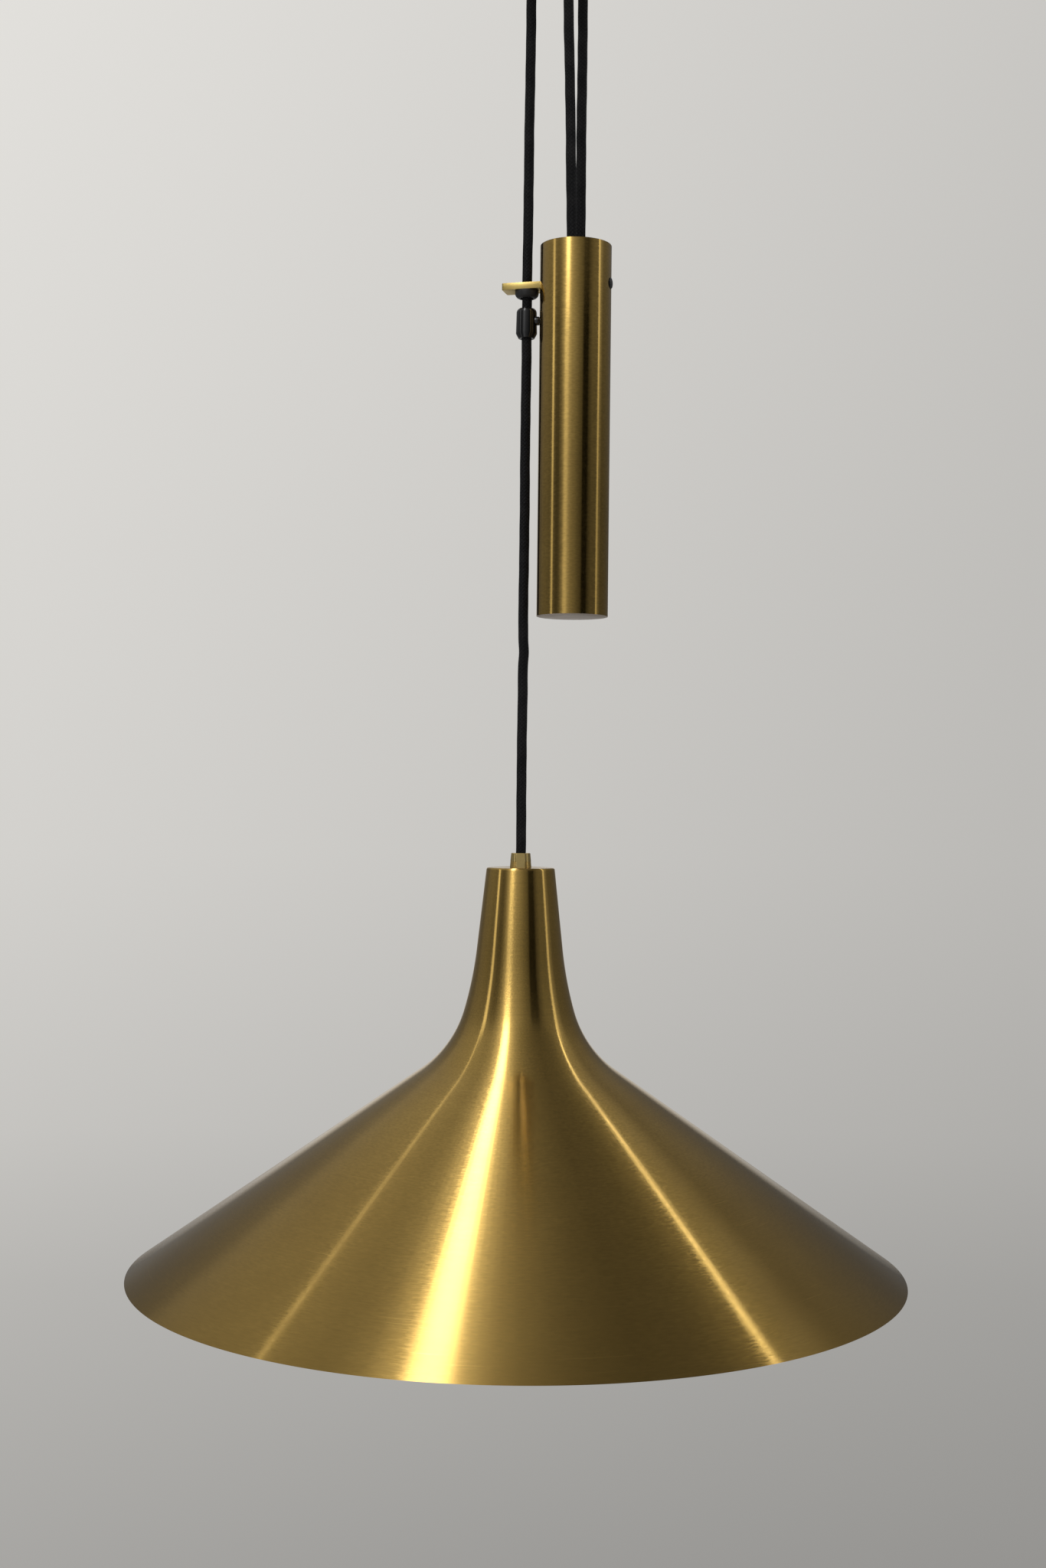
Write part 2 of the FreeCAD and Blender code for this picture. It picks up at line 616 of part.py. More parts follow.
def terminal_screws():
    """Brass grub screws in the strip's wells."""
    low = -PLATE_T - TERMINAL_H
    screws = []
    for at in terminal_pole_places():
        for side in SIDES:
            well = FreeCAD.Vector(at.x - TERMINAL_L / TERMINAL_POLES / 4, at.y + side * TERMINAL_W / 4,
                                  low + TERMINAL_SCREW_SINK)
            length = TERMINAL_H / 2 - TERMINAL_SCREW_SINK - TERMINAL_BORE_D / 2
            screws.append(rod(TERMINAL_SCREW_D / 2, well, UP, length))
    return Part.makeCompound(screws)


def terminal_fixing():
    """Long screw that holds the strip to the plate."""
    low = -PLATE_T - TERMINAL_H
    return pan_screw(TERMINAL_SCREW_D, TERMINAL_HEAD_D, TERMINAL_HEAD_T, TERMINAL_H + PLATE_T,
                     level(terminal_at(), low), UP)


# ---------------------------------------------------------------- pulleys
def pulley(pitch_r, centre, axle_dir):
    """A grooved wheel: a round groove for the cord, open outwards, with a recess in each side."""
    outer = pitch_r + PULLEY_LIP
    start = centre - axle_dir * (PULLEY_W / 2)
    wheel = rod(outer, start, axle_dir, PULLEY_W)
    wheel = round_edges(wheel, PULLEY_EDGE_R, lambda e: e.Closed and len(e.Vertexes) == 1)
    wheel = wheel.cut(Part.makeTorus(pitch_r, GROOVE_R, centre, axle_dir))
    wheel = wheel.cut(ring(outer + 1, pitch_r, centre - axle_dir * GROOVE_R, axle_dir, 2 * GROOVE_R))
    rim_in = pitch_r - GROOVE_R - PULLEY_GROOVE_WALL
    if rim_in > PULLEY_HUB_R:
        for side in SIDES:
            face = centre + axle_dir * (side * PULLEY_W / 2)
            wheel = wheel.cut(ring(rim_in, PULLEY_HUB_R, face, axle_dir * -side, PULLEY_WEB_RECESS))
    return wheel.cut(rod(BUSH_R + SEAT / 2, start, axle_dir, PULLEY_W))


def pulley_bush(centre, axle_dir):
    start = centre - axle_dir * (PULLEY_W / 2)
    return ring(BUSH_R, AXLE_D / 2 + RUNNING, start, axle_dir, PULLEY_W)


CEILING_CENTRE = level(CEILING_PULLEY, CEILING_AXLE_Z)
WEIGHT_CENTRE = level(WEIGHT, WEIGHT_AXLE_Z)


# ---------------------------------------------------------------- counterweight
def counterweight_tube():
    """Brass tube, open at the top, with a hole on each side for the axle."""
    tube = ring(TUBE_R, TUBE_IN, level(WEIGHT, TUBE_BOTTOM), UP, TUBE_L)
    start = WEIGHT_CENTRE - ARM_OUT * TUBE_D
    return tube.cut(rod(AXLE_D / 2 + FIT, start, ARM_OUT, 2 * TUBE_D))


def counterweight_core():
    """Steel rod that fills the tube from its foot to just under the pulley."""
    core = rod(TUBE_IN - SEAT, level(WEIGHT, CORE_BOTTOM), UP, CORE_TOP - CORE_BOTTOM)
    return core.makeChamfer(CORE_CHAMFER, [e for e in core.Edges if e.Closed and at_height(e, CORE_TOP)])


def counterweight_base():
    """Disc pushed into the foot of the tube, its face level with the tube's end."""
    return rod(TUBE_IN - SEAT, level(WEIGHT, TUBE_BOTTOM), UP, BASE_T)


def guide_arm():
    """Flat brass bar whose turned shank runs through the tube and is the pulley's axle."""
    length = ARM_REACH + ARM_PAST_CORD
    bar = block(length, ARM_W, ARM_T, level(WEIGHT + ARM_OUT * (length / 2), ARM_BOTTOM), ARM_OUT)
    end = level(WEIGHT + ARM_OUT * length, WEIGHT_AXLE_Z)
    bar = round_edges(bar, ARM_CORNER_R, lambda e: abs(e.BoundBox.ZLength - ARM_T) < TINY
                      and e.CenterOfMass.distanceToPoint(end) < ARM_W)
    bar = bar.cut(rod(TUBE_R + FIT, level(WEIGHT, ARM_BOTTOM), UP, ARM_T))
    start = WEIGHT_CENTRE - ARM_OUT * (TUBE_R - FIT)
    shank = rod(AXLE_D / 2, start, ARM_OUT, 2 * TUBE_R)
    flat = block(TUBE_D, AXLE_D, ARM_T, level(WEIGHT + ARM_OUT * (TUBE_R + TUBE_D / 2), ARM_BOTTOM), ARM_OUT)
    inside = shank.common(rod(TUBE_R + FIT, level(WEIGHT, WEIGHT_AXLE_Z - AXLE_D), UP, 2 * AXLE_D))
    arm = bar.fuse(inside.fuse(shank.common(flat))).removeSplitter()
    arm = arm.cut(rod(GUIDE_BODY_D / 2 + SEAT, level(LAMP, ARM_BOTTOM), UP, ARM_T))
    return arm.cut(rod(AXLE_SCREW_D / 2 + FIT, start, ARM_OUT, AXLE_SCREW_L + SCREW_PAST))


def guide_bushing():
    """Rounded black bushing in the arm, which the lamp cord runs through."""
    flange = rod(GUIDE_FLANGE_D / 2, level(LAMP, GUIDE_BOTTOM), UP, GUIDE_FLANGE_T)
    flange = round_edges(flange, GUIDE_ROUND_R, lambda e: at_height(e, GUIDE_BOTTOM))
    body = rod(GUIDE_BODY_D / 2, level(LAMP, ARM_BOTTOM), UP, ARM_T)
    bore = rod(GUIDE_BORE_D / 2, level(LAMP, GUIDE_BOTTOM), UP, GUIDE_FLANGE_T + ARM_T)
    return flange.fuse(body).removeSplitter().cut(bore)


def axle_screw():
    """Low domed screw that draws the arm's shank up against the tube."""
    seat = WEIGHT_CENTRE - ARM_OUT * TUBE_R
    return pan_screw(AXLE_SCREW_D, AXLE_SCREW_HEAD_D, AXLE_SCREW_HEAD_T, AXLE_SCREW_L, seat, ARM_OUT)


def pulley_spacers():
    """Two sleeves on the shank that keep the pulley in the middle of the tube."""
    reach = math.sqrt(TUBE_IN**2 - (SPACER_D / 2) ** 2) - SEAT
    length = reach - PULLEY_W / 2 - SIDE_PLAY
    starts = [WEIGHT_CENTRE + ARM_OUT * (PULLEY_W / 2 + SIDE_PLAY), WEIGHT_CENTRE - ARM_OUT * reach]
    bore_r = AXLE_D / 2 + FIT
    return Part.makeCompound([ring(SPACER_D / 2, bore_r, start, ARM_OUT, length) for start in starts])


# ---------------------------------------------------------------- lamp
def cord_stop():
    """Black collar clamped on the cord: rounded shoulder, slight flare, tapered foot, screw boss."""
    foot_r = STOP_D / 2 + STOP_FLARE
    body = turned([
        (0, STOP_TOP), (STOP_D / 2, STOP_TOP), (foot_r, STOP_BOTTOM + STOP_TAPER_H),
        (foot_r - STOP_TAPER, STOP_BOTTOM), (0, STOP_BOTTOM)])
    body = round_edges(body, STOP_SHOULDER_R, lambda e: e.Closed and at_height(e, STOP_TOP))
    boss_l = STOP_D / 2 + STOP_BOSS_OUT
    boss = rod(STOP_BOSS_D / 2, level(LAMP, STOP_TOP - STOP_BOSS_DROP), ARM_OUT * -1, boss_l)
    boss_end = level(LAMP - ARM_OUT * boss_l, STOP_TOP - STOP_BOSS_DROP)
    boss = round_edges(boss, STOP_BOSS_ROUND_R,
                       lambda e: e.Closed and e.CenterOfMass.distanceToPoint(boss_end) < TINY)
    body = body.fuse(boss).removeSplitter()
    body = body.cut(rod(CORD_R + CORD_PLAY, level(LAMP, STOP_BOTTOM), UP, STOP_L))
    screw_way = rod(STOP_SCREW_D / 2 + FIT, level(LAMP, STOP_TOP - STOP_BOSS_DROP), ARM_OUT * -1, STOP_D)
    return body.cut(screw_way)


def stop_screw():
    """Grub screw in the boss that pinches the cord."""
    tip = CORD_R + CORD_PLAY
    length = STOP_D / 2 + STOP_BOSS_OUT - STOP_SCREW_SINK - tip
    start = level(LAMP - ARM_OUT * tip, STOP_TOP - STOP_BOSS_DROP)
    screw = rod(STOP_SCREW_D / 2, start, ARM_OUT * -1, length)
    key = rod(STOP_SCREW_D / 4, start - ARM_OUT * (length - STOP_SCREW_KEY), ARM_OUT * -1, STOP_SCREW_KEY)
    return screw.cut(key)


def lamp_cord():
    return rod(CORD_R, level(LAMP, CORD_END), UP, STOP_TOP - CORD_END)


def cord_grip():
    """Slightly conical turned brass grip: rings near its foot, two spanner flats, a grub screw's hole."""
    slope = (GRIP_TOP_D - GRIP_D) / 2 / GRIP_H

    def radius(height):
        return GRIP_D / 2 + slope * height

    profile = [(0, GRIP_TOP), (GRIP_TOP_D / 2, GRIP_TOP)]
    first = GRIP_RING_FOOT + GRIP_RING_PITCH * (GRIP_RINGS - 0.5)
    for i in range(GRIP_RINGS):
        high = first - i * GRIP_RING_PITCH
        low = high - GRIP_RING_PITCH / 2
        middle = (high + low) / 2
        profile += [(radius(high), SHADE_TOP + high), (radius(middle) - GRIP_RING_DEPTH, SHADE_TOP + middle),
                    (radius(low), SHADE_TOP + low)]
    profile += [(GRIP_D / 2, SHADE_TOP), (0, SHADE_TOP)]
    grip = turned(profile)
    flats_z = SHADE_TOP + first + GRIP_BAND
    for side in SIDES:
        at = level(LAMP + plan(-90, side * (GRIP_FLATS / 2 + GRIP_D / 2)), flats_z)
        grip = grip.cut(block(2 * GRIP_D, GRIP_D, GRIP_FLATS_H, at, plan(0)))
    grip = grip.cut(rod(CORD_R + CORD_PLAY, level(LAMP, SHADE_TOP), UP, GRIP_H))
    grip = grip.cut(rod(NIPPLE_D / 2 + FIT, level(LAMP, SHADE_TOP), UP, NIPPLE_IN_GRIP))
    return grip.cut(rod(GRIP_SCREW_D / 2 + FIT, level(LAMP, GRIP_TOP - GRIP_SCREW_DROP), plan(90), GRIP_D))


def grip_screw():
    """Grub screw at the back of the grip that holds the cord."""
    tip = CORD_R + CORD_PLAY
    start = level(LAMP + plan(90, tip), GRIP_TOP - GRIP_SCREW_DROP)
    return rod(GRIP_SCREW_D / 2, start, plan(90), GRIP_TOP_D / 2 - tip)


def nipple():
    """Threaded tube that joins the grip, the shade and the lampholder."""
    low = HOLDER_TOP - NIPPLE_IN_HOLDER
    length = SHADE_TOP + NIPPLE_IN_GRIP - low
    return ring(NIPPLE_D / 2, NIPPLE_BORE_D / 2, level(LAMP, low), UP, length)


def shade_stations(inset):
    """Joints of the shade's outline, top to rim, that far inside its outer face: (radius, height, angle)."""
    stations = []
    r, z = NECK_R, SHADE_TOP
    angle = math.radians(NECK_TAPER)
    stations.append((r, z, angle))
    r, z = r + NECK_L * math.sin(angle), z - NECK_L * math.cos(angle)
    stations.append((r, z, angle))
    for radius, target in ((FLARE_R, FLARE_TO), (KNEE_R, SKIRT_SLOPE)):
        turn = math.radians(target)
        r += radius * (math.cos(angle) - math.cos(turn))
        z -= radius * (math.sin(turn) - math.sin(angle))
        angle = turn
        stations.append((r, z, angle))
    skirt = (SHADE_D / 2 - r) / math.sin(angle)
    stations.append((SHADE_D / 2, z - skirt * math.cos(angle), angle))
    return [(r - inset * math.cos(a), z - inset * math.sin(a), a) for r, z, a in stations]


def shade_arc(start, end):
    """A tangent arc of the outline between two of its joints."""
    middle_angle = (start[2] + end[2]) / 2
    radius = (end[0] - start[0]) / (math.cos(start[2]) - math.cos(end[2]))
    middle = FreeCAD.Vector(
        start[0] + radius * (math.cos(start[2]) - math.cos(middle_angle)), 0,
        start[1] - radius * (math.sin(middle_angle) - math.sin(start[2])))
    first, last = FreeCAD.Vector(start[0], 0, start[1]), FreeCAD.Vector(end[0], 0, end[1])
    return Part.Arc(first, middle, last).toShape()


def shade():
    """Spun brass shade: flat top, tapered neck, flared knee and straight skirt, cut level at the rim."""
    outer, inner = shade_stations(0), shade_stations(SHADE_T)
    rim_z = outer[-1][1]
    slope = math.tan(inner[-1][2])
    inner[-1] = (inner[-2][0] + slope * (inner[-2][1] - rim_z), rim_z, inner[-1][2])
    top_in = SHADE_TOP - SHADE_T
    inner[0] = (inner[1][0] - math.tan(inner[0][2]) * (top_in - inner[1][1]), top_in, inner[0][2])
    hole = NIPPLE_D / 2 + SEAT
    corners = {
        "hole": [FreeCAD.Vector(hole, 0, top_in), FreeCAD.Vector(hole, 0, SHADE_TOP)],
        "outer": [FreeCAD.Vector(r, 0, z) for r, z, _ in outer],
        "inner": [FreeCAD.Vector(r, 0, z) for r, z, _ in inner],
    }

    def line(a, b):
        return Part.LineSegment(a, b).toShape()

    edges = [
        line(corners["hole"][0], corners["hole"][1]),
        line(corners["hole"][1], corners["outer"][0]),
        line(corners["outer"][0], corners["outer"][1]),
        shade_arc(outer[1], outer[2]),
        shade_arc(outer[2], outer[3]),
        line(corners["outer"][3], corners["outer"][4]),
        line(corners["outer"][4], corners["inner"][4]),
        line(corners["inner"][4], corners["inner"][3]),
        shade_arc(inner[2], inner[3]),
        shade_arc(inner[1], inner[2]),
        line(corners["inner"][1], corners["inner"][0]),
        line(corners["inner"][0], corners["hole"][0]),
    ]
    solid = turned_edges(edges)
    solid = round_edges(solid, SHADE_TOP_BEND, lambda e: e.Closed and at_height(e, SHADE_TOP)
                        and e.BoundBox.XLength > NIPPLE_D * 2)
    return round_edges(solid, SHADE_TOP_BEND - SHADE_T, lambda e: e.Closed and at_height(e, top_in)
                       and e.BoundBox.XLength > NIPPLE_D * 2)


def shade_washer():
    return ring(WASHER_D / 2, NIPPLE_D / 2 + SEAT, level(LAMP, NUT_TOP), UP, WASHER_T)


def nipple_nut():
    corner_r = NUT_FLATS / math.sqrt(3)
    corners = [level(LAMP, HOLDER_TOP) + plan(60 * i, corner_r) for i in range(6)]
    nut = Part.Face(Part.makePolygon(corners + corners[:1])).extrude(UP * NUT_H)
    return nut.cut(rod(NIPPLE_D / 2 + FIT, level(LAMP, HOLDER_TOP), UP, NUT_H))


def lampholder_cap():
    """Domed upper half of the lampholder, screwed on the threaded tube."""
    cap = rod(HOLDER_D / 2, level(LAMP, SHELL_TOP), UP, CAP_H)
    cap = round_edges(cap, CAP_EDGE_R, lambda e: e.Closed and at_height(e, HOLDER_TOP))
    inner_top = HOLDER_TOP - HOLDER_T
    hollow = rod(HOLDER_D / 2 - HOLDER_T, level(LAMP, SHELL_TOP), UP, CAP_H - HOLDER_T)
    hollow = round_edges(hollow, CAP_EDGE_R - HOLDER_T, lambda e: e.Closed and at_height(e, inner_top))
    collar_r, collar_z = NIPPLE_D / 2 + HOLDER_COLLAR_WALL, HOLDER_TOP - NIPPLE_IN_HOLDER
    collar = rod(collar_r, level(LAMP, collar_z), UP, NIPPLE_IN_HOLDER - HOLDER_T / 2)
    cap = cap.cut(hollow).fuse(collar).removeSplitter()
    return cap.cut(rod(NIPPLE_D / 2 + FIT, level(LAMP, HOLDER_TOP - CAP_H), UP, CAP_H))


def lampholder_shell():
    """Lower half of the lampholder, stepped in to the mouth that the bulb's cap enters."""
    outer, lip = HOLDER_D / 2, SHELL_LIP_D / 2
    step = SHELL_BOTTOM + SHELL_STEP
    return turned([
        (outer, SHELL_TOP), (outer, step), (lip, step - SHELL_SLOPE), (lip, SHELL_BOTTOM),
        (SLEEVE_D / 2 + SEAT, SHELL_BOTTOM), (SLEEVE_D / 2 + SEAT, step),
        (outer - HOLDER_T, step + SHELL_SLOPE), (outer - HOLDER_T, SHELL_TOP)])


def lampholder_insert():
    """Ceramic disc that carries the terminals and the contacts."""
    insert = rod(HOLDER_D / 2 - HOLDER_T - SEAT, level(LAMP, INSERT_BOTTOM), UP, INSERT_H)
    for side in SIDES:
        at = LAMP + plan(0, side * HOLDER_SCREW_SPACING / 2)
        insert = insert.cut(rod(HOLDER_SCREW_D / 2 + FIT, level(at, INSERT_BOTTOM), UP, INSERT_H))
    return insert


def holder_screws():
    """Terminal screws on the insert's upper face."""
    length = INSERT_H - HOLDER_SCREW_SHORT
    return Part.makeCompound([
        pan_screw(HOLDER_SCREW_D, HOLDER_SCREW_HEAD_D, HOLDER_SCREW_H, length,
                  level(LAMP + plan(0, side * HOLDER_SCREW_SPACING / 2), SHELL_TOP), UP * -1)
        for side in SIDES])


def lampholder_sleeve():
    """Thin screwed sleeve that the bulb turns into."""
    return ring(SLEEVE_D / 2, SLEEVE_D / 2 - SLEEVE_T, level(LAMP, INSERT_BOTTOM - SLEEVE_L), UP, SLEEVE_L)


def lampholder_contact():
    return rod(CONTACT_D / 2, level(LAMP, CONTACT_BOTTOM), UP, CONTACT_H)


def holder_wires():
    """Two cores of the cord, each from its end to a terminal screw."""
    wires = []
    for side in SIDES:
        start = level(LAMP + plan(0, side * (WIRE_D / 2 + FIT)), CORD_END)
        out = level(LAMP + plan(0, side * (HOLDER_SCREW_SPACING - HOLDER_SCREW_HEAD_D) / 2), 0)
        end_z = SHELL_TOP + WIRE_D / 2
        bend = FreeCAD.Vector(start.x, start.y, end_z)
        wires.append(bent_tube("holder wire", [start, bend, level(out, end_z)],
                               [min(WIRE_BEND_R, WIRE_BEND_SHARE * abs(out.x - start.x))], WIRE_D))
    return Part.makeCompound(wires)


# ---------------------------------------------------------------- bulb
BULB_CAP_TOP = CONTACT_BOTTOM - BULB_TIP_H
BULB_CAP_BOTTOM = BULB_CAP_TOP - BULB_CAP_L
BULB_CENTRE_Z = BULB_CAP_BOTTOM - BULB_NECK_L


def bulb_cap():
    """Screw cap of the bulb, coned in towards its tip contact."""
    cap_r, shoulder = BULB_CAP_D / 2, BULB_CAP_TOP - BULB_CAP_CONE
    return turned([
        (BULB_TIP_R, BULB_CAP_TOP), (cap_r, shoulder), (cap_r, BULB_CAP_BOTTOM),
        (cap_r - BULB_CAP_T, BULB_CAP_BOTTOM), (cap_r - BULB_CAP_T, shoulder - BULB_CAP_T / 2),
        (BULB_TIP_R, BULB_CAP_TOP - BULB_TIP_SINK)])


def bulb_contact():
    """Solder tip on its glass bead; it presses on the holder's contact."""
    return turned([
        (0, CONTACT_BOTTOM), (BULB_TIP_R * 0.6, CONTACT_BOTTOM), (BULB_TIP_R - FIT, BULB_CAP_TOP),
        (BULB_TIP_R - FIT, BULB_CAP_TOP - BULB_TIP_SINK), (0, BULB_CAP_TOP - BULB_TIP_SINK)])


def bulb_profile(inset):
    """The glass outline from its neck to its lowest point, that far inside the outer face."""
    globe_r, neck_r = BULB_D / 2 - inset, BULB_NECK_R - inset
    centre = FreeCAD.Vector(0, 0, BULB_CENTRE_Z)
    top = FreeCAD.Vector(neck_r, 0, BULB_CAP_BOTTOM + BULB_NECK_IN)
    neck = FreeCAD.Vector(neck_r, 0, BULB_CAP_BOTTOM)
    reach = math.hypot(neck_r, BULB_NECK_L)
    touch = math.atan2(BULB_NECK_L, neck_r) - math.acos(globe_r / reach)

    def on_globe(angle):
        return centre + FreeCAD.Vector(globe_r * math.cos(angle), 0, globe_r * math.sin(angle))

    tangent, bottom = on_globe(touch), on_globe(-math.pi / 2)
    arc = Part.Arc(tangent, on_globe((touch - math.pi / 2) / 2), bottom).toShape()
    straights = [Part.LineSegment(top, neck).toShape(), Part.LineSegment(neck, tangent).toShape()]
    return top, bottom, straights + [arc]


def bulb_glass():
    """Hollow glass globe on a tapered neck."""
    top_out, low_out, outer = bulb_profile(0)
    top_in, low_in, inner = bulb_profile(BULB_GLASS_T)
    closing = [Part.LineSegment(low_out, low_in).toShape(), Part.LineSegment(top_in, top_out).toShape()]
    return turned_edges(outer + closing[:1] + inner[::-1] + closing[1:])


# ---------------------------------------------------------------- build
PARTS = {
    "ceiling_plate": ceiling_plate,
    "canopy": canopy,
    "canopy_screws": canopy_screws,
    "canopy_bushings": canopy_bushings,
    "pulley_yoke": pulley_yoke,
    "yoke_rivets": lambda: rivets(yoke_rivet_places(), YOKE_T),
    "ceiling_pulley_axle": ceiling_pulley_axle,
    "axle_clip": axle_clip,
    "anchor_lug": anchor_lug,
    "anchor_rivets": lambda: rivets(anchor_rivet_places(), LUG_T),
    "anchor_saddle": anchor_saddle,
    "anchor_screws": anchor_screws,
    "terminal_block": terminal_block,
    "terminal_screws": terminal_screws,
    "terminal_fixing": terminal_fixing,
    "cord_tail": lambda: bent_tube("cord tail", tail_points(), [TAIL_RISE_R, TAIL_TURN_R], CORD_D),
    "cord_anchor_strand": lambda: strand(
        level(ANCHOR, WEIGHT_AXLE_Z), level(ANCHOR, SADDLE_Z + SADDLE_H)),
    "cord_weight_strand": lambda: strand(
        level(NEAR_STRAND, WEIGHT_AXLE_Z), level(FAR_STRAND, CEILING_AXLE_Z)),
    "cord_over_ceiling_pulley": lambda: wrap(
        level(LAMP_STRAND, CEILING_AXLE_Z), CEILING_CENTRE, CEILING_AXLE_DIR),
    "cord_lamp_strand": lambda: strand(level(LAMP, STOP_TOP), level(LAMP_STRAND, CEILING_AXLE_Z)),
    "ceiling_pulley": lambda: pulley(CEILING_PITCH_R, CEILING_CENTRE, CEILING_AXLE_DIR),
    "ceiling_pulley_bush": lambda: pulley_bush(CEILING_CENTRE, CEILING_AXLE_DIR),
    "counterweight_tube": counterweight_tube,
    "counterweight_core": counterweight_core,
    "counterweight_base": counterweight_base,
    "guide_arm": guide_arm,
    "guide_bushing": guide_bushing,
    "axle_screw": axle_screw,
    "pulley_spacers": pulley_spacers,
    "cord_under_weight_pulley": lambda: wrap(
        level(NEAR_STRAND, WEIGHT_AXLE_Z), WEIGHT_CENTRE, ARM_OUT * -1),
    "counterweight_pulley": lambda: pulley(WEIGHT_PITCH_R, WEIGHT_CENTRE, ARM_OUT),
    "counterweight_pulley_bush": lambda: pulley_bush(WEIGHT_CENTRE, ARM_OUT),
    "cord_stop": cord_stop,
    "stop_screw": stop_screw,
    "lamp_cord": lamp_cord,
    "cord_grip": cord_grip,
    "grip_screw": grip_screw,
    "nipple": nipple,
    "shade": shade,
    "shade_washer": shade_washer,
    "nipple_nut": nipple_nut,
    "lampholder_cap": lampholder_cap,
    "lampholder_shell": lampholder_shell,
    "lampholder_insert": lampholder_insert,
    "holder_screws": holder_screws,
    "lampholder_sleeve": lampholder_sleeve,
    "lampholder_contact": lampholder_contact,
    "holder_wires": holder_wires,
    "bulb_cap": bulb_cap,
    "bulb_contact": bulb_contact,
    "bulb_glass": bulb_glass,
}

os.makedirs("parts", exist_ok=True)
for name, make in PARTS.items():
    shape = make()
    shape.exportStep(f"parts/{name}.step")
    solids = len(shape.Solids)
    print(f"{name}: {solids} solid(s), valid {shape.isValid()}, {shape.Volume / 1000:.2f} cm3")
lift = (GUIDE_TO_STOP - END_GAP) / (1 + WEIGHT_SHARE)
fall = 1 / WEIGHT_SHARE * (CANOPY_TO_TUBE - BUSHING_FLANGE_T - END_GAP)
rim = shade_stations(0)[-1][1]
print(f"lamp travel {-fall:.1f} to {lift:.1f}, rim at {rim:.1f}")
print(f"ceiling pulley at {CEILING_CENTRE}, axle {CEILING_AXLE_DIR}, {1000 / CEILING_PITCH_R:.3f} rad/m")
print(f"weight pulley at {WEIGHT_CENTRE}, axle {ARM_OUT}, {-1000 * WEIGHT_SHARE / WEIGHT_PITCH_R:.3f} rad/m")
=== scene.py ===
import json
import math

import bmesh
import bpy
from mathutils import Matrix, Vector
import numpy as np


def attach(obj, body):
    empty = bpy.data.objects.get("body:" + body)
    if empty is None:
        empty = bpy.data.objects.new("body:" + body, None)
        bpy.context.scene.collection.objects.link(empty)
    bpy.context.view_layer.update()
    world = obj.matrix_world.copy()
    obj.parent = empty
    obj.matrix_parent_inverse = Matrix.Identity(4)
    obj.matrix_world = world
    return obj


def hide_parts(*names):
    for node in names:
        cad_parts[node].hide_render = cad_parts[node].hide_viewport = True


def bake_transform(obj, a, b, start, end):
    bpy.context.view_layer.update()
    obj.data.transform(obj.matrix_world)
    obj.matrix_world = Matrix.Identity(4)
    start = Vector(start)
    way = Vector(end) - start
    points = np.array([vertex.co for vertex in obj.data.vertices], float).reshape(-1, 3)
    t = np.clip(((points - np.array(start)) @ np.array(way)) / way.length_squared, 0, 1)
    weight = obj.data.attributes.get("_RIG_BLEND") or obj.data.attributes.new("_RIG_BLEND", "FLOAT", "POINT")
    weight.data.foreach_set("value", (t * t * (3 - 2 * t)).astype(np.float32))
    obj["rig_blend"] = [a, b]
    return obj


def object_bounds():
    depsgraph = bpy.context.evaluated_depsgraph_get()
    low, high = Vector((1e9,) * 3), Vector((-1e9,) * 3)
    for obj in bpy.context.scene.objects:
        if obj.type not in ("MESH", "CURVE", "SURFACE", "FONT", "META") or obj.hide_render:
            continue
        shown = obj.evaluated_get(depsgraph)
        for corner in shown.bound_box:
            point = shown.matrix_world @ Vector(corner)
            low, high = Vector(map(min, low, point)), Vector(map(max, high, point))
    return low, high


# A rise and fall pendant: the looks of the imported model. Measures in the lists are millimetres, +Z up,
# from the centre of the ceiling plate's top face; the front is -Y.

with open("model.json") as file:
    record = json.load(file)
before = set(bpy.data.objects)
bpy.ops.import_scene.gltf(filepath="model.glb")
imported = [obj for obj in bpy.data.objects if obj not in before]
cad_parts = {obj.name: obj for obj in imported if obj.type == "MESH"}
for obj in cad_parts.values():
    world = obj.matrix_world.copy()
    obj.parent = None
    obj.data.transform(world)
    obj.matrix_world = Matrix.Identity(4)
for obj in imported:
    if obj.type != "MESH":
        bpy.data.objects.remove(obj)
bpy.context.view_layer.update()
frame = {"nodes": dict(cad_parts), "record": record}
slot_of = {part["node"]: part["material_slot"] for part in frame["record"]["subparts"]}

MM = 0.001
LAMP = Vector((-16, 8, 0))                 # the lamp's axis
WEIGHT = Vector((15.533, -0.2725, 0))      # the counterweight's axis
ARM_OUT = Vector((-0.96727, 0.25376, 0))   # from the counterweight towards the lamp cord
AXLE_Z = -277.5


# ---------------------------------------------------------------- node trees
def socket(sockets, name):
    """The socket with that number, or the one in use with that name."""
    if isinstance(name, int):
        return sockets[name]
    return next(s for s in sockets if s.name == name and s.enabled)


def feed(tree, into, value):
    """Sets an input to a number or a colour, or wires another node's output to it."""
    if isinstance(value, bpy.types.NodeSocket):
        tree.links.new(value, into)
    else:
        into.default_value = value


def node(tree, kind, inputs=None, **settings):
    """A node with its settings; each input is a number, a colour or another node's output."""
    made = tree.nodes.new("ShaderNode" + kind)
    for key, value in settings.items():
        setattr(made, key, value)
    for name, value in (inputs or {}).items():
        feed(tree, socket(made.inputs, name), value)
    return made


def math_node(tree, operation, a, b=0.0, clamp=False):
    return node(tree, "Math", {0: a, 1: b}, operation=operation, use_clamp=clamp).outputs[0]


def noise(tree, place, scale, detail=3.0, roughness=0.5, distortion=0.0):
    return node(tree, "TexNoise", {"Vector": place, "Scale": scale, "Detail": detail, "Roughness": roughness,
                                   "Distortion": distortion}).outputs[0]


def between(tree, value, low, high, to_low=0.0, to_high=1.0):
    """The value from low to high carried over to another range, and held at its ends."""
    return node(tree, "MapRange", {"Value": value, "From Min": low, "From Max": high,
                                   "To Min": to_low, "To Max": to_high}).outputs[0]


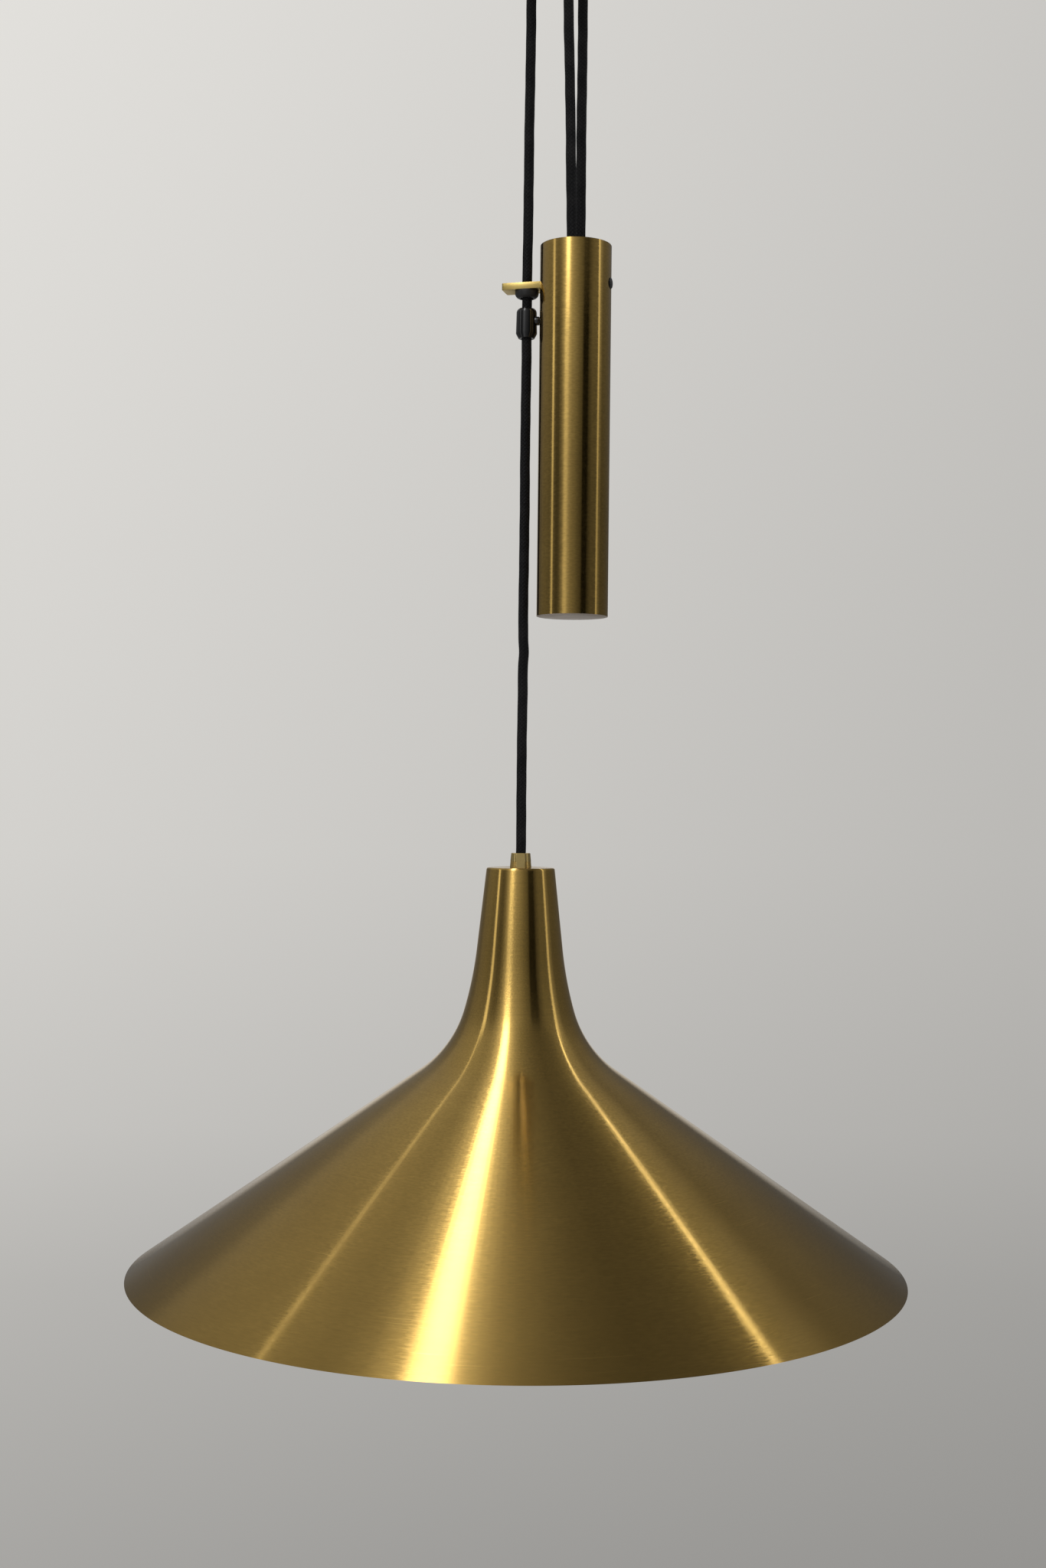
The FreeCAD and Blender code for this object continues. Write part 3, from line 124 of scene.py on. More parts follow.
def mixed(tree, share, first, second):
    """The first colour, with that share of the second in its place."""
    return node(tree, "Mix", {0: share, 6: first, 7: second}, data_type="RGBA").outputs[2]


def effect(name, inputs, outputs):
    """A node group with its named sockets, and the ends to wire it between."""
    tree = bpy.data.node_groups.new(name, "ShaderNodeTree")
    for label, kind, value in inputs:
        made = tree.interface.new_socket(name=label, in_out="INPUT", socket_type="NodeSocket" + kind)
        if value is not None:
            made.default_value = value
    for label, kind in outputs:
        tree.interface.new_socket(name=label, in_out="OUTPUT", socket_type="NodeSocket" + kind)
    return tree, tree.nodes.new("NodeGroupInput").outputs, tree.nodes.new("NodeGroupOutput").inputs


def use(tree, group, **inputs):
    """The outputs of a node group that is given these inputs."""
    made = tree.nodes.new("ShaderNodeGroup")
    made.node_tree = group
    for label, value in inputs.items():
        feed(tree, made.inputs[label], value)
    return made.outputs


def round_the_axis():
    """Turns a place about a vertical axis into one whose first two numbers only say the direction."""
    inputs = [("Place", "Vector", None), ("Along", "Float", 0.0), ("Turns", "Float", 1.0)]
    tree, given, out = effect("round the axis", inputs, [("Place", "Vector")])
    apart = node(tree, "SeparateXYZ", {0: given["Place"]}).outputs
    flat = node(tree, "CombineXYZ", {0: apart[0], 1: apart[1]}).outputs[0]
    way = node(tree, "VectorMath", {0: flat}, operation="NORMALIZE").outputs[0]
    way = node(tree, "VectorMath", {0: way, "Scale": given["Turns"]}, operation="SCALE").outputs[0]
    lift = node(tree, "CombineXYZ", {2: given["Along"]}).outputs[0]
    total = node(tree, "VectorMath", {0: way, 1: lift}, operation="ADD").outputs[0]
    tree.links.new(total, out["Place"])
    return tree


def fine_lines():
    """Turning or brushing lines, close together along the third number of Place and long the other ways."""
    tree, given, out = effect("fine lines", [("Place", "Vector", None), ("Closeness", "Float", 3000.0)],
                              [("Lines", "Float"), ("Height", "Float")])
    apart = node(tree, "SeparateXYZ", {0: given["Place"]}).outputs
    found = []
    for share, along, wide in ((0.6, 1.0, 1.0), (0.4, 0.31, 0.6)):
        tight = math_node(tree, "MULTIPLY", math_node(tree, "MULTIPLY", apart[2], given["Closeness"]), along)
        first = math_node(tree, "MULTIPLY", apart[0], wide)
        second = math_node(tree, "MULTIPLY", apart[1], wide)
        place = node(tree, "CombineXYZ", {0: first, 1: second, 2: tight}).outputs[0]
        found.append(math_node(tree, "MULTIPLY", noise(tree, place, 1.0, 2.0, 0.6), share))
    total = math_node(tree, "ADD", *found)
    tree.links.new(between(tree, total, 0.32, 0.68), out["Lines"])
    tree.links.new(total, out["Height"])
    return tree


def short_streaks():
    """Short turning marks: how strong each is, and the surface tipped a little sideways by it."""
    inputs = [("Place", "Vector", None), ("Closeness", "Float", 1100.0), ("Tilt", "Float", 0.1)]
    tree, given, out = effect("short streaks", inputs, [("Streaks", "Float"), ("Normal", "Vector")])
    apart = node(tree, "SeparateXYZ", {0: given["Place"]}).outputs
    tight = math_node(tree, "MULTIPLY", apart[2], given["Closeness"])
    place = node(tree, "CombineXYZ", {0: apart[0], 1: apart[1], 2: tight}).outputs[0]
    streak = noise(tree, place, 1.0, 3.0, 0.55)
    sideways = node(tree, "Tangent", direction_type="RADIAL", axis="Z").outputs[0]
    tip = math_node(tree, "MULTIPLY", math_node(tree, "SUBTRACT", streak, 0.5), given["Tilt"])
    tip = node(tree, "VectorMath", {0: sideways, "Scale": tip}, operation="SCALE").outputs[0]
    straight = node(tree, "NewGeometry").outputs["Normal"]
    total = node(tree, "VectorMath", {0: straight, 1: tip}, operation="ADD").outputs[0]
    tree.links.new(node(tree, "VectorMath", {0: total}, operation="NORMALIZE").outputs[0], out["Normal"])
    tree.links.new(between(tree, streak, 0.3, 0.7), out["Streaks"])
    return tree


def tarnish():
    """Soft blotches, small specks and a few long thin scratches, as on handled metal."""
    tree, given, out = effect("tarnish", [("Place", "Vector", None), ("Size", "Float", 18.0)],
                              [("Blotches", "Float"), ("Specks", "Float"), ("Scratches", "Float")])
    blotch = noise(tree, given["Place"], given["Size"], 5.0, 0.62, 0.4)
    tree.links.new(between(tree, blotch, 0.36, 0.66), out["Blotches"])
    close = math_node(tree, "MULTIPLY", given["Size"], 38.0)
    tree.links.new(between(tree, noise(tree, given["Place"], close, 1.0), 0.78, 0.84), out["Specks"])
    turned = node(tree, "Mapping", {0: given["Place"], "Rotation": (0.15, 0.1, 0.0),
                                    "Scale": (0.6, 0.6, 150.0)}).outputs[0]
    hair = noise(tree, turned, given["Size"], 1.0)
    broken = between(tree, noise(tree, given["Place"], given["Size"], 2.0), 0.56, 0.62)
    tree.links.new(math_node(tree, "MULTIPLY", between(tree, hair, 0.70, 0.76), broken), out["Scratches"])
    return tree


def braid():
    """Two sets of strands wound opposite ways, over and under each other, on a cord's own map."""
    inputs = [("Map", "Vector", None), ("Strands", "Float", 8.0), ("Lay", "Float", 390.0)]
    tree, given, out = effect("braid", inputs, [("Height", "Float"), ("Gaps", "Float")])
    apart = node(tree, "SeparateXYZ", {0: given["Map"]}).outputs
    run = math_node(tree, "MULTIPLY", apart[0], given["Lay"])
    turns = math_node(tree, "MULTIPLY", apart[1], given["Strands"])
    left = math_node(tree, "ADD", turns, run)
    right = math_node(tree, "SUBTRACT", turns, run)
    cell = math_node(tree, "ADD", math_node(tree, "FLOOR", left), math_node(tree, "FLOOR", right))
    over = math_node(tree, "PINGPONG", cell, 1.0)
    crowns = []
    for way in (left, right):
        across = math_node(tree, "MULTIPLY", math_node(tree, "FRACT", way), math.pi)
        crowns.append(math_node(tree, "POWER", math_node(tree, "SINE", across), 0.6))
    height = node(tree, "Mix", {0: over}, data_type="FLOAT")
    tree.links.new(crowns[0], height.inputs[2])
    tree.links.new(crowns[1], height.inputs[3])
    low = math_node(tree, "MULTIPLY", *crowns)
    tree.links.new(math_node(tree, "ADD", math_node(tree, "MULTIPLY", height.outputs[0], 0.7),
                             math_node(tree, "MULTIPLY", low, 0.3)), out["Height"])
    tree.links.new(between(tree, low, 0.0, 0.45, 1.0, 0.0), out["Gaps"])
    return tree


ROUND = round_the_axis()
LINES = fine_lines()
STREAKS = short_streaks()
TARNISH = tarnish()
BRAID = braid()


# ---------------------------------------------------------------- finishes
def new_finish(name):
    material = bpy.data.materials.new(name)
    material.use_nodes = True
    tree = material.node_tree
    return material, tree, tree.nodes["Principled BSDF"]


def place_on(tree, axis=None):
    """A place on the piece in metres, from the axis that it was turned about."""
    at = node(tree, "TexCoord").outputs["Object"]
    if axis is None:
        return at
    return node(tree, "Mapping", {0: at, "Location": tuple(-MM * x for x in axis)}).outputs[0]


def bump(tree, shader, height, strength, distance=0.0002, normal=None):
    """Relief on a finish, on top of a normal that is already tipped where one is given."""
    made = node(tree, "Bump", {"Strength": strength, "Distance": distance, "Height": height})
    if normal:
        tree.links.new(normal, made.inputs["Normal"])
    tree.links.new(made.outputs[0], shader.inputs["Normal"])


def scaled(colour, by):
    """The colour made darker or lighter."""
    return (*(min(1.0, by * c) for c in colour), 1)


def metal(name, light, dark, roughness, axis=None, closeness=3000.0, turns=1.6, lines=0.5, patina=0.5,
          size=18.0, depth=0.15, anisotropy=0.0, along=None, fade=None, turning=None):
    """A turned or brushed metal: lines round its axis, patina, specks and scratches. Fade gives the heights
    between which its colour is darkened as painted shade, and how much. Turning gives how close short turning
    marks are round the axis and how far they tip the surface sideways."""
    material, tree, shader = new_finish(name)
    at = place_on(tree, axis)
    height = node(tree, "SeparateXYZ", {0: at}).outputs[2]
    if along:
        height = node(tree, "Attribute", attribute_name=along, attribute_type="GEOMETRY").outputs["Fac"]
    round_it = use(tree, ROUND, Place=at, Along=height, Turns=turns)["Place"] if axis is not None else at
    grain = use(tree, LINES, Place=round_it, Closeness=closeness)
    aged = use(tree, TARNISH, Place=at, Size=size)
    shade = math_node(tree, "MULTIPLY", aged["Blotches"], patina)
    colour = mixed(tree, shade, (*light, 1), (*dark, 1))
    # painted shade: between fade's two heights the colour darkens towards the lower one
    if fade:
        level = node(tree, "SeparateXYZ", {0: at}).outputs[2]
        colour = mixed(tree, between(tree, level, MM * fade[0], MM * fade[1], 0.0, fade[2]), colour,
                       scaled(dark, 0.5))
    lined = math_node(tree, "MULTIPLY", grain["Lines"], lines)
    colour = mixed(tree, lined, colour, scaled(light, 0.62))
    if turning:
        short = use(tree, ROUND, Place=at, Along=height, Turns=turning[0])["Place"]
        short = use(tree, STREAKS, Place=short, Closeness=0.42 * closeness, Tilt=turning[1])
        flecks = between(tree, short["Streaks"], 0.0, 1.0, 0.45, 0.0)
        colour = mixed(tree, flecks, colour, scaled(light, 0.5))
    marks = math_node(tree, "MULTIPLY", aged["Specks"], 0.5)
    colour = mixed(tree, marks, colour, scaled(dark, 0.35))
    scratched = math_node(tree, "MULTIPLY", aged["Scratches"], 0.35)
    colour = mixed(tree, scratched, colour, scaled(light, 1.25))
    tree.links.new(colour, shader.inputs["Base Color"])
    rough = math_node(tree, "ADD", math_node(tree, "MULTIPLY", aged["Blotches"], 0.35 * roughness),
                      math_node(tree, "MULTIPLY", grain["Lines"], 0.3 * roughness))
    rough = math_node(tree, "ADD", rough, 0.7 * roughness)
    if turning:
        rough = math_node(tree, "MULTIPLY", rough, between(tree, short["Streaks"], 0.0, 1.0, 0.7, 1.3))
    tree.links.new(rough, shader.inputs["Roughness"])
    shader.inputs["Metallic"].default_value = 1.0
    bump(tree, shader, grain["Height"], depth, normal=short["Normal"] if turning else None)
    if anisotropy:
        shader.inputs["Anisotropic"].default_value = anisotropy
        tangent = node(tree, "Tangent", direction_type="UV_MAP", uv_map="turned")
        tree.links.new(tangent.outputs[0], shader.inputs["Tangent"])
    return material


def moulded(name, light, dark, roughness, grain=900.0, depth=0.08, coat=0.0, specular=0.5):
    """Plastic, nylon, paint or glaze: a fine skin, faint clouds and dust."""
    material, tree, shader = new_finish(name)
    at = place_on(tree)
    aged = use(tree, TARNISH, Place=at, Size=30.0)
    skin = noise(tree, at, grain, 3.0)
    colour = mixed(tree, aged["Blotches"], (*light, 1), (*dark, 1))
    colour = mixed(tree, math_node(tree, "MULTIPLY", aged["Specks"], 0.3), colour,
                   (*(min(1.0, 0.06 + 1.6 * c) for c in light), 1))
    tree.links.new(colour, shader.inputs["Base Color"])
    rough = math_node(tree, "MULTIPLY", aged["Blotches"], 0.3 * roughness)
    tree.links.new(math_node(tree, "ADD", rough, 0.85 * roughness), shader.inputs["Roughness"])
    shader.inputs["Coat Weight"].default_value = coat
    shader.inputs["Specular IOR Level"].default_value = specular
    bump(tree, shader, skin, depth)
    return material


def textile():
    """Black braided rayon: strands that catch a little light, gaps between them painted darker as shade, a few
    pale fibres.
    """
    material, tree, shader = new_finish("cord_textile")
    on_map = node(tree, "UVMap", uv_map="cord").outputs[0]
    woven = use(tree, BRAID, Map=on_map)
    at = place_on(tree)
    worn = between(tree, noise(tree, at, 90.0, 4.0), 0.4, 0.7)
    colour = mixed(tree, worn, (0.0055, 0.0055, 0.006, 1), (0.0105, 0.010, 0.0105, 1))
    # painted shade: the gaps between the strands are darkened
    colour = mixed(tree, math_node(tree, "MULTIPLY", woven["Gaps"], 0.7), colour, (0.002, 0.002, 0.0022, 1))
    lint = between(tree, noise(tree, at, 2600.0, 1.0), 0.76, 0.82)
    colour = mixed(tree, math_node(tree, "MULTIPLY", lint, 0.35), colour, (0.07, 0.066, 0.066, 1))
    tree.links.new(colour, shader.inputs["Base Color"])
    tree.links.new(between(tree, woven["Gaps"], 0.0, 1.0, 0.6, 0.95), shader.inputs["Roughness"])
    shader.inputs["Specular IOR Level"].default_value = 0.12
    shader.inputs["Sheen Weight"].default_value = 0.02
    shader.inputs["Sheen Roughness"].default_value = 0.5
    bump(tree, shader, woven["Height"], 0.8, 0.0005)
    return material


def opal():
    """Opal glass with a faint haze, which lets some light in."""
    material, tree, shader = new_finish("opal_glass")
    at = place_on(tree)
    haze = between(tree, noise(tree, at, 60.0, 3.0), 0.35, 0.65)
    colour = mixed(tree, haze, (0.93, 0.93, 0.9, 1), (0.89, 0.885, 0.85, 1))
    tree.links.new(colour, shader.inputs["Base Color"])
    tree.links.new(between(tree, haze, 0.0, 1.0, 0.12, 0.2), shader.inputs["Roughness"])
    shader.inputs["Subsurface Weight"].default_value = 0.3
    shader.inputs["Subsurface Radius"].default_value = (0.006, 0.006, 0.005)
    shader.inputs["Coat Weight"].default_value = 0.4
    bump(tree, shader, noise(tree, at, 400.0, 2.0), 0.03)
    return material


BRASS = (0.74, 0.488, 0.14)
BROWN = (0.55, 0.35, 0.098)
finishes = {
    # the shade's brass gets painted shade that darkens it towards its rim
    "shade_brass": metal("shade_brass", BRASS, BROWN, 0.15, LAMP, 2600.0, 1.3, 0.35, 0.5, 14.0, 0.12,
                         anisotropy=1.0, along="along", fade=(-790, -920, 0.5), turning=(38.0, 0.012)),
    "tube_brass": metal("tube_brass", (0.61, 0.407, 0.118), (0.48, 0.308, 0.088), 0.105, WEIGHT, 2200.0, 1.0,
                        0.25, 0.5, 30.0, 0.04, turning=(9.0, 0.008)),
    "canopy_brass": metal("canopy_brass", BRASS, BROWN, 0.24, (0, 0, 0), 2600.0, 1.3, 0.35, 0.5, 16.0,
                          turning=(12.0, 0.02)),
    "turned_brass": metal("turned_brass", (0.93, 0.71, 0.29), (0.72, 0.51, 0.19), 0.2, LAMP, 5200.0, 0.9,
                          0.45, 0.55, 60.0, 0.2),
    "arm_brass": metal("arm_brass", (0.72, 0.54, 0.18), (0.54, 0.38, 0.13), 0.3, None, 4000.0, 1.0, 0.3,
                       0.4, 70.0, 0.15),
    "zinc_steel": metal("zinc_steel", (0.62, 0.62, 0.6), (0.44, 0.44, 0.43), 0.38, None, 900.0, 1.0, 0.2,
                        0.8, 90.0, 0.08),
    "plain_steel": metal("plain_steel", (0.55, 0.55, 0.54), (0.38, 0.38, 0.38), 0.28, None, 3000.0, 1.0,
                         0.35, 0.5, 70.0),
    "end_steel": metal("end_steel", (0.64, 0.565, 0.50), (0.54, 0.475, 0.42), 0.42, None, 1500.0, 1.0, 0.2,
                       0.6, 50.0),
    "black_steel": moulded("black_steel", (0.007, 0.007, 0.0075), (0.012, 0.0115, 0.0115), 0.24, 1500.0, 0.1,
                           specular=0.8),
    "black_plastic": moulded("black_plastic", (0.005, 0.005, 0.0055), (0.009, 0.0088, 0.009), 0.1, 500.0,
                             0.02, coat=0.3, specular=0.4),
    "black_nylon": moulded("black_nylon", (0.011, 0.011, 0.0115), (0.019, 0.0185, 0.0185), 0.34, 1400.0, 0.12,
                           specular=0.3),
    "white_plastic": moulded("white_plastic", (0.82, 0.81, 0.77), (0.76, 0.74, 0.69), 0.45, 900.0, 0.1),
    "wire_sheath": moulded("wire_sheath", (0.08, 0.14, 0.34), (0.06, 0.11, 0.28), 0.4, 900.0, 0.05),
    "porcelain": moulded("porcelain", (0.86, 0.85, 0.81), (0.8, 0.78, 0.73), 0.16, 500.0, 0.05, coat=0.5),
    "bulb_cap_metal": metal("bulb_cap_metal", (0.74, 0.74, 0.73), (0.6, 0.6, 0.6), 0.3, LAMP, 4000.0, 0.8,
                            0.3, 0.4, 60.0),
    "cord_textile": textile(),
    "opal_glass": opal(),
}
white_lacquer = moulded("white_lacquer", (0.80, 0.79, 0.76), (0.76, 0.745, 0.71), 0.35, 700.0, 0.05,
                        coat=0.2)


# ---------------------------------------------------------------- modelling
class Outline:
    """Half of a turned piece's section, drawn from point to point as (radius, height), then spun."""

    def __init__(self, radius, height):
        self.bm = bmesh.new()
        self.bm.verts.layers.float.new("along")
        self.tip = self.first = self.bm.verts.new((radius, 0, height))
        self.heading = 0.0                        # degrees below level, outwards

    def to(self, radius, height):
        """A straight run to a point."""
        made = bmesh.ops.extrude_vert_indiv(self.bm, verts=[self.tip])["verts"][0]
        self.heading = math.degrees(math.atan2(self.tip.co.z - height, radius - self.tip.co.x))
        made.co = (radius, 0, height)
        self.tip = made
        return self

    def ahead(self, length):
        way = math.radians(self.heading)
        return self.to(self.tip.co.x + length * math.cos(way), self.tip.co.z - length * math.sin(way))

    def bend(self, radius, turn, steps=6):
        """A tangent arc that turns down for a positive turn and out or up for a negative one."""
        way, side = math.radians(self.heading), math.copysign(radius, turn)
        centre = self.tip.co - Vector((math.sin(way), 0, math.cos(way))) * side
        made = bmesh.ops.spin(self.bm, geom=[self.tip], cent=centre, axis=(0, 1, 0),
                              angle=math.radians(turn), steps=steps)["geom_last"]
        self.tip = next(g for g in made if isinstance(g, bmesh.types.BMVert))
        self.heading += turn
        return self

    def spun(self, sides=96, closed=True):
        """The whole solid about the vertical, still in millimetres and on the axis."""
        bm = self.bm
        along = bm.verts.layers.float["along"]
        run, vert, edge = 0.0, self.first, None
        while True:
            edge = next((e for e in vert.link_edges if e is not edge), None)
            if edge is None:
                break
            vert, run = edge.other_vert(vert), run + edge.calc_length()
            vert[along] = run * MM
        if closed:
            bm.edges.new((self.tip, self.first))
        bmesh.ops.spin(bm, geom=bm.verts[:] + bm.edges[:], cent=(0, 0, 0), axis=(0, 0, 1),
                       angle=2 * math.pi, steps=sides, use_merge=True)
        bmesh.ops.remove_doubles(bm, verts=bm.verts[:], dist=1e-4)
        bmesh.ops.recalc_face_normals(bm, faces=bm.faces[:])
        return bm


def soften(bm, width, segments=2, wanted=lambda edge: True, sharper_than=25):
    """Bevels the edges that are sharper than an angle."""
    edges = [e for e in bm.edges if len(e.link_faces) == 2 and wanted(e)
             and e.calc_face_angle(0) > math.radians(sharper_than)]
    bmesh.ops.bevel(bm, geom=edges, offset=width, offset_type="OFFSET", segments=segments, profile=0.5,
                    affect="EDGES", material=-1, clamp_overlap=True)
    return bm


def drilled_bar(outline, bore_at, bore, height, edge):
    """A flat bar with that outline in plan and a round hole through it."""
    bm = bmesh.new()
    corners = [bm.verts.new((along, across, -height / 2)) for along, across in outline]
    for first, second in zip(corners, corners[1:] + corners[:1]):
        bm.edges.new((first, second))
    middle = Matrix.Translation((bore_at, 0, -height / 2))
    bmesh.ops.create_circle(bm, segments=96, radius=bore, matrix=middle)
    bmesh.ops.triangle_fill(bm, use_beauty=True, edges=bm.edges[:])
    raised = bmesh.ops.extrude_face_region(bm, geom=bm.faces[:])["geom"]
    raised = [part for part in raised if isinstance(part, bmesh.types.BMVert)]
    bmesh.ops.translate(bm, vec=(0, 0, height), verts=raised)
    bmesh.ops.recalc_face_normals(bm, faces=bm.faces[:])
    return soften(bm, edge, sharper_than=60)


def aimed(way):
    """The turn that points +Z along way."""
    return way.to_track_quat("Z", "Y").to_matrix().to_4x4()


def pin(radius, start, end, sides=48, edge=0.3):
    """A round bar between two points."""
    bm = bmesh.new()
    way = Vector(end) - Vector(start)
    bmesh.ops.create_cone(bm, cap_ends=True, segments=sides, radius1=radius, radius2=radius, depth=way.length)
    soften(bm, edge, 2, sharper_than=60)
    bm.transform(Matrix.Translation((Vector(start) + Vector(end)) / 2) @ aimed(way))
    return bm


def joined(*parts):
    """Several closed forms as one mesh."""
    whole = bmesh.new()
    for bm in parts:
        kept = bpy.data.meshes.new("part")
        bm.to_mesh(kept)
        bm.free()
        whole.from_mesh(kept)
        bpy.data.meshes.remove(kept)
    return whole


def piece(name, bm, body, slot, at, stands_for, materials=None, smooth=30):
    """The finished piece in metres, in its place, riding on its body, in place of the solids named."""
    bmesh.ops.translate(bm, vec=Vector(at), verts=bm.verts[:])
    bmesh.ops.scale(bm, vec=(MM, MM, MM), verts=bm.verts[:])
    mesh = bpy.data.meshes.new(name)
    bm.to_mesh(mesh)
    bm.free()
    mesh.polygons.foreach_set("use_smooth", [True] * len(mesh.polygons))
    mesh.set_sharp_from_angle(angle=math.radians(smooth))
    for material in materials or [finishes[slot]]:
        mesh.materials.append(material)
    made = bpy.data.objects.new(name, mesh)
    bpy.context.scene.collection.objects.link(made)
    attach(made, body)
    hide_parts(*stands_for)


def turned_map(bm):
    """A map for a spun piece: the first number runs along its section, the second once round."""
    uv, along = bm.loops.layers.uv.new("turned"), bm.verts.layers.float["along"]
    for face in bm.faces:
        rounds = [math.atan2(loop.vert.co.y, loop.vert.co.x) / (2 * math.pi) for loop in face.loops]
        seam = max(rounds) - min(rounds) > 0.5
        for loop, part in zip(face.loops, rounds):
            loop[uv].uv = (loop.vert[along], part + 1.0 if seam and part < 0 else part)


# ---------------------------------------------------------------- cords
def centreline(name, points):
    """Points along the smooth line of a route, from a curve without thickness."""
    curve = bpy.data.curves.new(name, "CURVE")
    curve.dimensions = "3D"
    curve.resolution_u = 40
    spline = curve.splines.new("NURBS")
    spline.points.add(len(points) - 1)
    for point, place in zip(spline.points, points):
        point.co = (*(MM * x for x in place), 1.0)
    spline.order_u = 3
    spline.use_endpoint_u = True
    holder = bpy.data.objects.new(name, curve)
    bpy.context.scene.collection.objects.link(holder)
    bpy.context.view_layer.update()
    line = bpy.data.meshes.new_from_object(holder)
    found = [v.co.copy() for v in line.vertices]
    bpy.data.meshes.remove(line)
    bpy.data.objects.remove(holder)
    bpy.data.curves.remove(curve)
    return found


def evenly(line, step):
    """The same line at equal steps."""
    runs = [0.0]
    for a, b in zip(line, line[1:]):
        runs.append(runs[-1] + (b - a).length)
    count = max(2, round(runs[-1] / step))
    found, j = [], 0
    for i in range(count + 1):
        want = runs[-1] * i / count
        while j < len(runs) - 2 and runs[j + 1] < want:
            j += 1
        part = (want - runs[j]) / max(runs[j + 1] - runs[j], 1e-9)
        found.append(line[j].lerp(line[j + 1], min(max(part, 0.0), 1.0)))
    return found, runs[-1]


CORD_SWAY = 0.00016                        # metres that a cord strays from its line
CORD_SWELL = 0.018                         # share by which it swells and thins
CORD_END_STEPS = 30                        # steps at each end in which it comes back to its line
CREASE_REACH = 0.006
CREASE_SHIFT = Vector((0.0006, 0, 0))
WAVES = ((61, 1.0, 1.0), (143, 0.7, 2.1), (317, 0.5, 1.0))   # closeness, share and shift of each
WAVES_TOTAL = 2.2


def wander(s, seed):
    """Small unevenness of a soft cord along its run, from -1 to 1."""
    total = 0.0
    for closeness, share, shift in WAVES:
        total += share * math.sin(s * closeness + shift * seed)
    return total / WAVES_TOTAL


def cord_piece(name, route, diameter, crease=None, sides=28, step=0.0009):
    """A tube round the route's line, a little uneven as woven cord is, with its own map."""
    line, length = evenly(centreline(name, route), step)
    last = len(line) - 1
    bm = bmesh.new()
    bmesh.ops.create_grid(bm, x_segments=last, y_segments=sides, size=0.5, calc_uvs=True)
    uv = bm.loops.layers.uv.verify()
    rounds, rows = {}, {}
    for vert in bm.verts:
        rows[vert] = round((vert.co.x + 0.5) * last)
        rounds[vert] = round((vert.co.y + 0.5) * sides)
    for face in bm.faces:
        for loop in face.loops:
            loop[uv].uv = (length * rows[loop.vert] / last, rounds[loop.vert] / sides)
    frames, side = [], None
    for i in range(len(line)):
        way = (line[min(i + 1, last)] - line[max(i - 1, 0)]).normalized()
        side = way.orthogonal() if side is None else side - way * side.dot(way)
        side.normalize()
        frames.append((way, side.copy(), way.cross(side)))
    ring_centres = []
    for i, point in enumerate(line):
        s = length * i / last
        fade = min(1.0, min(i, last - i) / CORD_END_STEPS)
        off = frames[i][1] * wander(s, 1.3) + frames[i][2] * wander(s, 4.1)
        moved = point + off * (CORD_SWAY * fade)
        if crease:
            near = math.exp(-((point.z - crease) / CREASE_REACH) ** 2)
            moved = moved + CREASE_SHIFT * near
        ring_centres.append(moved)
    for vert in bm.verts:
        i, angle = rows[vert], 2 * math.pi * rounds[vert] / sides
        s = length * i / last
        radius = diameter / 2 * (1 + CORD_SWELL * wander(s, 7.7 + math.sin(angle)))
        vert.co = ring_centres[i] + (frames[i][1] * math.cos(angle) + frames[i][2] * math.sin(angle)) * radius
    bmesh.ops.remove_doubles(bm, verts=bm.verts[:], dist=1e-6)
    bmesh.ops.holes_fill(bm, edges=[e for e in bm.edges if e.is_boundary])
    bmesh.ops.recalc_face_normals(bm, faces=bm.faces[:])
    mesh = bpy.data.meshes.new(name)
    bm.to_mesh(mesh)
    bm.free()
    mesh.uv_layers[0].name = "cord"
    mesh.polygons.foreach_set("use_smooth", [True] * len(mesh.polygons))
    mesh.materials.append(finishes["cord_textile"])
    made = bpy.data.objects.new(name, mesh)
    bpy.context.scene.collection.objects.link(made)
    return made, ring_centres, length


def at_pulley(centre, across, *places):
    """Route points near a pulley, each as (across, up) from its centre."""
    return [Vector(centre) + Vector(across) * a + Vector((0, 0, b)) for a, b in places]


CEILING_PULLEY, CEILING_ACROSS = (-3.560, -1.702, -27.5), (0.76267, -0.64679, 0)
WEIGHT_PULLEY, WEIGHT_ACROSS = (*WEIGHT[:2], AXLE_Z), (0.25376, 0.96727, 0)
# a route rounds a pulley by the corners of an octagon: the cord's radius there and half a side
WEIGHT_R, WEIGHT_HALF_SIDE = 12, 4.97
CEILING_R, CEILING_HALF_SIDE = 15, 6.21
PLUMB = 39                                 # from a pulley's centre to where its strands hang plumb
weight_route = [(-4.422, -29.665, -9), (18.578, -29.665, -9), (18.578, 11.335, -9), (18.578, 11.335, -29)]
weight_route += at_pulley(WEIGHT_PULLEY, WEIGHT_ACROSS, (WEIGHT_R, PLUMB), (WEIGHT_R, -WEIGHT_HALF_SIDE),
                          (WEIGHT_HALF_SIDE, -WEIGHT_R), (-WEIGHT_HALF_SIDE, -WEIGHT_R),
                          (-WEIGHT_R, -WEIGHT_HALF_SIDE), (-WEIGHT_R, PLUMB))
weight_route += at_pulley(CEILING_PULLEY, CEILING_ACROSS, (CEILING_R, -PLUMB),
                          (CEILING_R, CEILING_HALF_SIDE), (CEILING_HALF_SIDE, CEILING_R), (0, CEILING_R))
weight_cord, line, length = cord_piece("tackle_cord", weight_route, 0.0065)
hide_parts("cord_tail", "cord_anchor_strand", "cord_under_weight_pulley", "cord_weight_strand",
            "cord_over_ceiling_pulley")
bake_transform(weight_cord, "ceiling", "counterweight", start=(0.018, 0.011, -0.0475), end=(0.018, 0.011, -0.2524))

